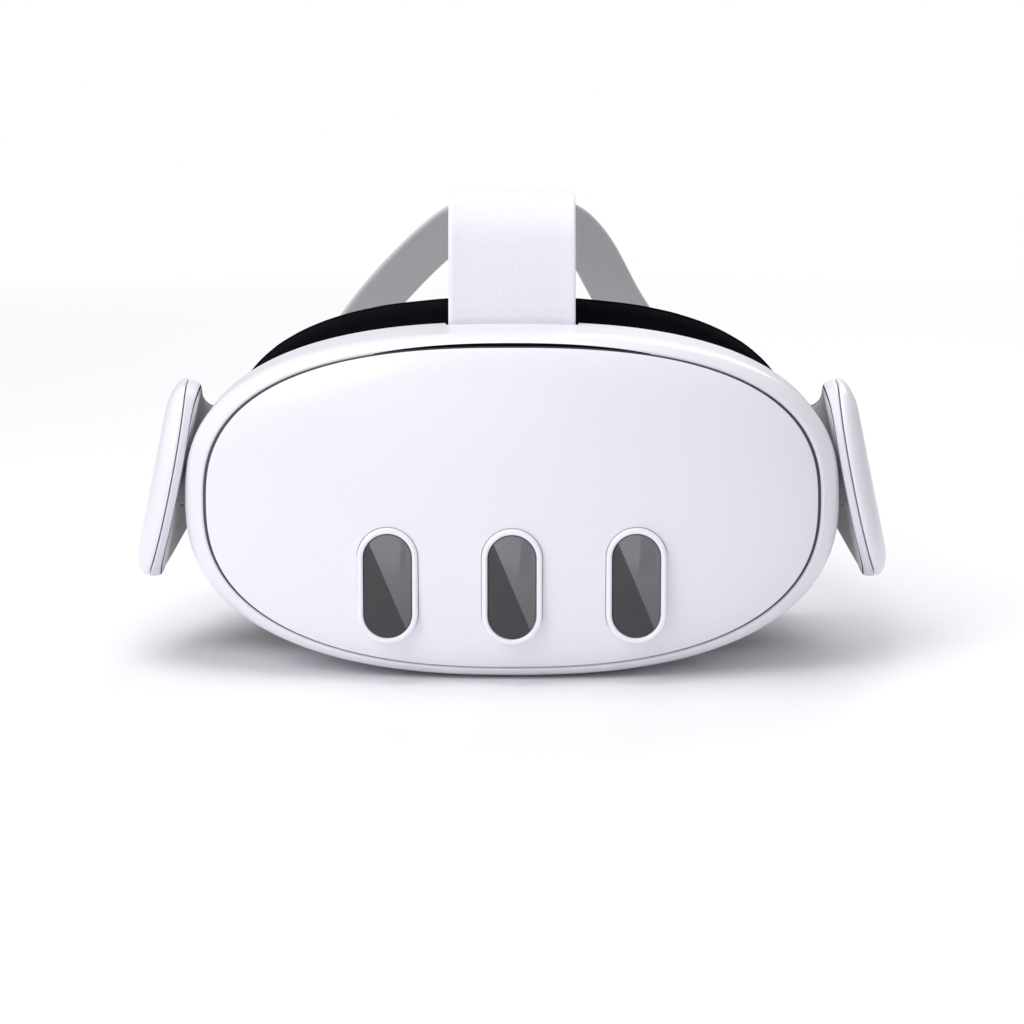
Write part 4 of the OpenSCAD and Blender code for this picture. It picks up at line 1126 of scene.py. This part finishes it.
def slider(side):
    """Rounded sleeve swept along the rear arc."""
    first = SLIDER_START * REAR_R * math.pi / 180
    last = first + SLIDER_ARC * REAR_R * math.pi / 180
    nose = [(first + SLIDER_END_R * (1 - math.cos(a)), SLIDER_END_R * (1 - math.sin(a)))
            for a in np.radians(np.linspace(0, 90, 6))]
    body = [(q, 0) for q in np.linspace(first + SLIDER_END_R, last - SLIDER_END_R, 14)[1:-1]]
    tail = [(last - (q - first), slim) for q, slim in reversed(nose)]
    profile = [(q, slim, *SLIDER_OUTER, 2.2) for q, slim in nose + body + tail]
    profile += [(q, 0, *SLIDER_BORE, 0.5) for q in np.linspace(last, first, 12)]
    rings = []
    for q, slim, w, h, r in profile:
        a = q / REAR_R
        shape = rounded_box(w - 2 * slim, h - 2 * slim, max(0.3, r - slim), 6)
        rr = REAR_R + shape[:, 0]
        x, y = side * rr * math.cos(a), ARC_BACK + rr * math.sin(a)
        rings.append(on_strap(np.stack([x, y, shape[:, 1]], 1)))
    return loft(rings, "loop")


for side, name in SIDES:
    piece = build(f"slider_{name}", [slider(side)], [white_shell], 40)
    settle(piece, f"strap_slider_{name}", "white_shell", f"strap_slider_{name}")

# ---------- face interface ----------

FACE_A, FACE_B = 83.5, 47.5
FACE_RADIUS = 190
NOSE_H = 20
SLEEVE_FRONT = 9.3
RAIL_X, RAIL_Z, RAIL_BORE = 70, 14, 1.55
EAR_Y, EAR_HALF = (23, 30), 4
LATCH_X, LATCH_Y = 80, 30
LATCH_HOLE_R, LATCH_HOLE_X = 5.2, (76, 95)
STRAP_ROOM, STRAP_ROOM_Z = STRAP_W + 20, (34, 54)


def sleeve_at(z):
    return SLEEVE_FRONT - 6 * smooth(15, 40, z)


def face_y(x):
    return 48 + x * x / (2 * FACE_RADIUS)


def nose_lift(x, z):
    return np.where(z < 0, NOSE_H * np.exp(-(x / 15) ** 2), 0)


def frame_ring(k, w):
    a = (1 - k) * (HALF_W - WALL - 0.8) + k * FACE_A - w
    b = (1 - k) * (HALF_H - WALL - 0.8) + k * FACE_B - w
    x, z = outline(turn(), a, b)
    return np.stack([x, sleeve_at(z) + k * (face_y(x) - sleeve_at(z)),
                     z + smooth(0.25, 1, k) * nose_lift(x, z)], 1)


def pad_ring(r, d, n):
    x, z = outline(turn(n), FACE_A + r, FACE_B + r)
    return np.stack([x, face_y(x) + 0.2 + d, z + nose_lift(x, z)], 1)


outer = [frame_ring(0, 0.5), frame_ring(0.012, 0)]
outer += [frame_ring(k, 0) for k in np.linspace(0.06, 0.93, 13)]
lip = [frame_ring(0.955, -0.25), frame_ring(0.985, -0.25), frame_ring(1, 0.15)]
inner_side = [frame_ring(k, 2) for k in [1] + list(np.linspace(0.93, 0.0, 12))]
interface = build("interface_frame", [loft(outer + lip + inner_side, "loop")], [black_matt])
corners = [(side, k) for side in (-1, 1) for k in (-1, 1)]
ears = build("interface_ears", [block((side * (RAIL_X - 5), EAR_Y[0], k * RAIL_Z - EAR_HALF),
                                      (side * (RAIL_X + 12.8), EAR_Y[1], k * RAIL_Z + EAR_HALF))
                                for side, k in corners], [black_plastic])
cut(ears, [disc_loft([(RAIL_BORE, 15), (RAIL_BORE, 40)], (side * RAIL_X, 0, k * RAIL_Z), (0, 1, 0), 32)
           for side, k in corners])
settle(ears, "face_interface", "black_plastic")
holes = [block((-STRAP_ROOM / 2, -4, STRAP_ROOM_Z[0]), (STRAP_ROOM / 2, BAR_Y + 5.5, STRAP_ROOM_Z[1]))]
holes += [rod(LATCH_HOLE_R, side * LATCH_HOLE_X[0], side * LATCH_HOLE_X[1], LATCH_Y, 0) for side in (-1, 1)]
cut(interface, holes)
settle(interface, "face_interface", "black_plastic", "face_frame")


def latch(side):
    x0, x1 = side * (LATCH_X - 3), side * (LATCH_X + 2.2)
    face = [(5, 0.7), (4.8, 0.3), (4.3, 0), (3.4, 0.12), (1.5, 0.3), (0.05, 0.34)]
    profile = [(5, x0)] + [(r, x1 - side * inward) for r, inward in face]
    return disc_loft(profile, (0, LATCH_Y, 0), (1, 0, 0))


for side, name in SIDES:
    piece = build(f"latch_{name}", [latch(side)], [grey_plastic], 40)
    settle(piece, f"depth_latch_{name}", "grey_plastic", f"depth_latch_{name}")

# The cushion: a foam ring blown up as cloth from a slimmer ring, then seamed
PAD_D, PAD_W = 14, 13
CUSHION_LOW = 1.4                         # keeps the cushion off the table
VOXEL, PRESSURE, MOST_SWELL, CLOTH_FRAMES = 2.4, 4.0, 0.7, 20


def slim_ring(k):
    """Rings round the cushion's section, its outer side k slimmer than its space."""
    steps = [(0.7, 0.5), (3.2 - k, PAD_D * 0.27), (3.2 - k, PAD_D * 0.62), (1.7 - k, PAD_D * 0.86),
             (-1.6, PAD_D * 0.93 - k), (-PAD_W * 0.45, PAD_D * 0.98 - k), (4.2 - PAD_W + k, PAD_D * 0.78),
             (4.4 - PAD_W + k, PAD_D * 0.6), (5.2 - PAD_W + k, PAD_D * 0.38), (-4, 1.5)]
    rings = [pad_ring(r, d, 200) for r, d in steps]
    for ring in rings:
        ring[:, 2] = np.maximum(ring[:, 2], CUSHION_LOW - LENS_Z)
    return rings


def blow_up(ob, voxel, pressure, cap, frames):
    """Runs Cloth on a remeshed copy and keeps the swollen shape, each point moving at most cap."""
    remesh = ob.modifiers.new("remesh", "REMESH")
    remesh.mode, remesh.voxel_size = "VOXEL", voxel * MM
    ob.data = baked(ob)
    ob.modifiers.clear()
    rest = np.array([v.co for v in ob.data.vertices])
    mod = ob.modifiers.new("cloth", "CLOTH")
    mod.settings.use_pressure = True
    mod.settings.uniform_pressure_force = pressure
    mod.settings.effector_weights.gravity = 0
    mod.settings.quality = 6
    mod.settings.mass = 0.2
    mod.settings.tension_stiffness = mod.settings.compression_stiffness = 25
    mod.point_cache.frame_start, mod.point_cache.frame_end = 1, frames
    for f in range(1, frames + 1):
        bpy.context.scene.frame_set(f)
    swollen = baked(ob)
    now = np.array([v.co for v in swollen.vertices])
    step = now - rest
    length = np.linalg.norm(step, axis=1, keepdims=True)
    now = rest + step * np.minimum(1, cap * MM / np.maximum(length, 1e-9))
    ob.modifiers.clear()
    ob.data = swollen
    ob.data.vertices.foreach_set("co", now.astype(np.float32).ravel())
    bpy.context.scene.frame_set(1)
    relax = ob.modifiers.new("relax", "SMOOTH")
    relax.factor, relax.iterations = 0.5, 4
    finer = ob.modifiers.new("finer", "SUBSURF")
    finer.levels = finer.render_levels = 1
    ob.data = baked(ob)
    ob.modifiers.clear()
    shade(ob, 80)


cushion = build("face_cushion_pad", [loft(slim_ring(0.1), "loop")], [foam], 80)
blow_up(cushion, VOXEL, PRESSURE, MOST_SWELL, CLOTH_FRAMES)
settle(cushion, "face_interface", "foam", "face_cushion")


def piping(name, ring, radius):
    """Sewn cord along a closed ring of points, laid on the cushion."""
    laid = [cushion.closest_point_on_mesh(Vector((p + LENS_UP) * MM))[1] for p in ring]
    ring = np.array(laid) / MM - LENS_UP
    for _ in range(6):
        ahead, behind = neighbours(ring)
        ring = (behind + 2 * ring + ahead) / 4
    ahead, behind = neighbours(ring)
    h = unit(ahead - behind)
    side = unit(np.cross(h, [0, 1, 0]))
    other = np.cross(h, side)
    rings = [ring + radius * (math.cos(a) * side + math.sin(a) * other) for a in turn(10)]
    settle(build(name, [loft(rings, "loop")], [foam], 80), "face_interface", "foam")


piping("cushion_piping", pad_ring(3.1, PAD_D * 0.42, 400), 0.55)
piping("cushion_inner_seam", pad_ring(3.1 - PAD_W, PAD_D * 0.5, 400), 0.45)

# Nose flap: a thin curved rubber leaf
FLAP_HALF_W, FLAP_HALF_T, FLAP_LEAN = 16.5, 0.55, math.radians(20)
cols, rows = 25, 9
leaf_top, leaf_low = [], []
for j in range(rows):
    for i in range(cols):
        a, b = i / (cols - 1) * 2 - 1, j / (rows - 1)
        half_w = FLAP_HALF_W * (1 - 0.16 * (1 - b) ** 2)
        z = -5 + 10.2 * b - 3.2 * a * a * (1 - b)
        y = 2.2 * a * a - 0.9 * (1 - b)
        leaf_top.append([a * half_w, y - FLAP_HALF_T, z])
        leaf_low.append([a * half_w, y + FLAP_HALF_T, z])
faces = []
count = cols * rows
for j in range(rows - 1):
    for i in range(cols - 1):
        a = j * cols + i
        faces += [(a, a + 1, a + cols + 1, a + cols),
                  (count + a + cols, count + a + cols + 1, count + a + 1, count + a)]
border = list(range(cols)) + [j * cols + cols - 1 for j in range(1, rows)]
border += [(rows - 1) * cols + i for i in range(cols - 2, -1, -1)]
border += [j * cols for j in range(rows - 2, 0, -1)]
for a, b in zip(border, border[1:] + border[:1]):
    faces.append((b, a, count + a, count + b))
x, y, z = np.array(leaf_top + leaf_low).T
leaf = np.stack([x, y * math.cos(FLAP_LEAN) - z * math.sin(FLAP_LEAN),
                 y * math.sin(FLAP_LEAN) + z * math.cos(FLAP_LEAN)], 1) + middle("nose_flap")
flap = build("nose_leaf", [(leaf, faces, 0)], [rubber], 60)
settle(flap, "face_interface", "nose_rubber", "nose_flap")

# ---------- eyepieces ----------

BARREL_R = 23.5
GLASS_R, DOME_R = BARREL_R - 1.8, 60
GLASS_BACK, GLASS_FRONT = 15.6, 16.4


def dome(q):
    return math.sqrt(DOME_R * DOME_R - q * q)


glass_profile = [(GLASS_R, GLASS_BACK), (GLASS_R, 16.2), (GLASS_R - 0.25, 16.5)]
glass_profile += [(q, GLASS_FRONT + dome(q) - dome(GLASS_R)) for q in np.linspace(GLASS_R - 0.6, 0.05, 20)]
bezel_steps = [(1.7, 18.9), (1.55, 19.3), (1.1, 19.5), (0.4, 19.3), (0.1, 18.6), (0.1, 17.2), (1.7, 17.2)]
bezel_profile = [(GLASS_R + out, y) for out, y in bezel_steps]
for side, name in SIDES:
    body, centre = f"lens_{name}", (middle(f"lens_{name}")[0], 0, 0)
    glass = build(f"eyepiece_{name}", [disc_loft(glass_profile, centre, (0, 1, 0), 96)], [eyepiece], 50)
    settle(glass, body, "lens_glass", body)
    bezel = build(f"eyepiece_bezel_{name}", [disc_loft(bezel_profile, centre, (0, 1, 0), 96, 0, "loop")],
                  [black_plastic], 40)
    settle(bezel, body, "black_plastic")

# ---------- studio ----------


def floor_look():
    """Pale floor that fades into the white surroundings away from the object."""
    k = Look("studio_floor")
    k.set(Base_Color=k.mix(k.noise(3, 2), rgb(0.90, 0.90, 0.92), rgb(0.93, 0.93, 0.945)), Roughness=0.6)
    parts = k.node("ShaderNodeSeparateXYZ", Vector=k.place)
    far = k.math("SQRT", k.add(k.mul(parts.outputs[0], parts.outputs[0]),
                                k.mul(parts.outputs[1], parts.outputs[1])))
    clear = k.node("ShaderNodeBsdfTransparent", Color=rgb(1, 1, 1))
    return k.show(k.span(far, 0, 1, 0.35, 1.3), k.skin.outputs[0], clear.outputs[0])


FLOOR_R = 1600
floor_xy = circle(turn(96))
floor_rings = [np.column_stack([FLOOR_R * q * floor_xy, np.full(96, -LENS_Z)])
               for q in (0.002, 0.25, 0.5, 0.75, 1)]
build("studio_floor", [loft(floor_rings, "none")], [floor_look()])

# White where the camera sees the surroundings, softer and faintly blue where they light the object
world = bpy.data.worlds.new("studio")
bpy.context.scene.world = world
world.use_nodes = True
sky_nodes, sky_links = world.node_tree.nodes, world.node_tree.links
sky, lit = sky_nodes["Background"], sky_nodes.new("ShaderNodeBackground")
for ground, colour, strength in ((sky, (0.965, 0.965, 1.0, 1.0), 0.5), (lit, (1, 1, 1, 1), 1.0)):
    ground.inputs["Color"].default_value = colour
    ground.inputs["Strength"].default_value = strength
seen = sky_nodes.new("ShaderNodeLightPath").outputs["Is Camera Ray"]
choose = sky_nodes.new("ShaderNodeMixShader")
for source, target in zip((seen, sky.outputs[0], lit.outputs[0]), choose.inputs):
    sky_links.new(source, target)
sky_links.new(choose.outputs[0], sky_nodes["World Output"].inputs["Surface"])

subject = Vector((0, FRONT_Y * MM, LENS_Z * MM))


def area(name, place, size, power):
    """Round soft light turned towards the object."""
    light = bpy.data.lights.new(name, "AREA")
    light.shape, light.size, light.energy = "DISK", size, power
    ob = bpy.data.objects.new(name, light)
    ob.location = place
    ob.rotation_euler = (Vector((0, 0.04, 0.05)) - Vector(place)).to_track_quat("-Z", "Y").to_euler()
    bpy.context.scene.collection.objects.link(ob)


area("key", (-0.85, -0.95, 0.95), 0.9, 8)
area("top", (-0.25, 0.0, 1.3), 1.0, 8)
area("back", (0.3, 1.1, 0.8), 0.8, 4)
area("low", (-0.2, -1.2, 0.15), 0.7, 1.3)

CAMERA_RISE, CAMERA_AWAY, VIEW_W, SENSOR_W = math.radians(9), 0.9, 0.28, 36
camera = bpy.data.cameras.new("camera")
camera.sensor_width = SENSOR_W
camera.lens = SENSOR_W * CAMERA_AWAY / VIEW_W
holder = bpy.data.objects.new("camera", camera)
back = Vector((0, -math.cos(CAMERA_RISE), math.sin(CAMERA_RISE)))
holder.location = subject + back * CAMERA_AWAY
holder.rotation_euler = (-back).to_track_quat("-Z", "Y").to_euler()
bpy.context.scene.collection.objects.link(holder)
bpy.context.scene.camera = holder
bpy.context.scene.view_settings.view_transform = "Standard"
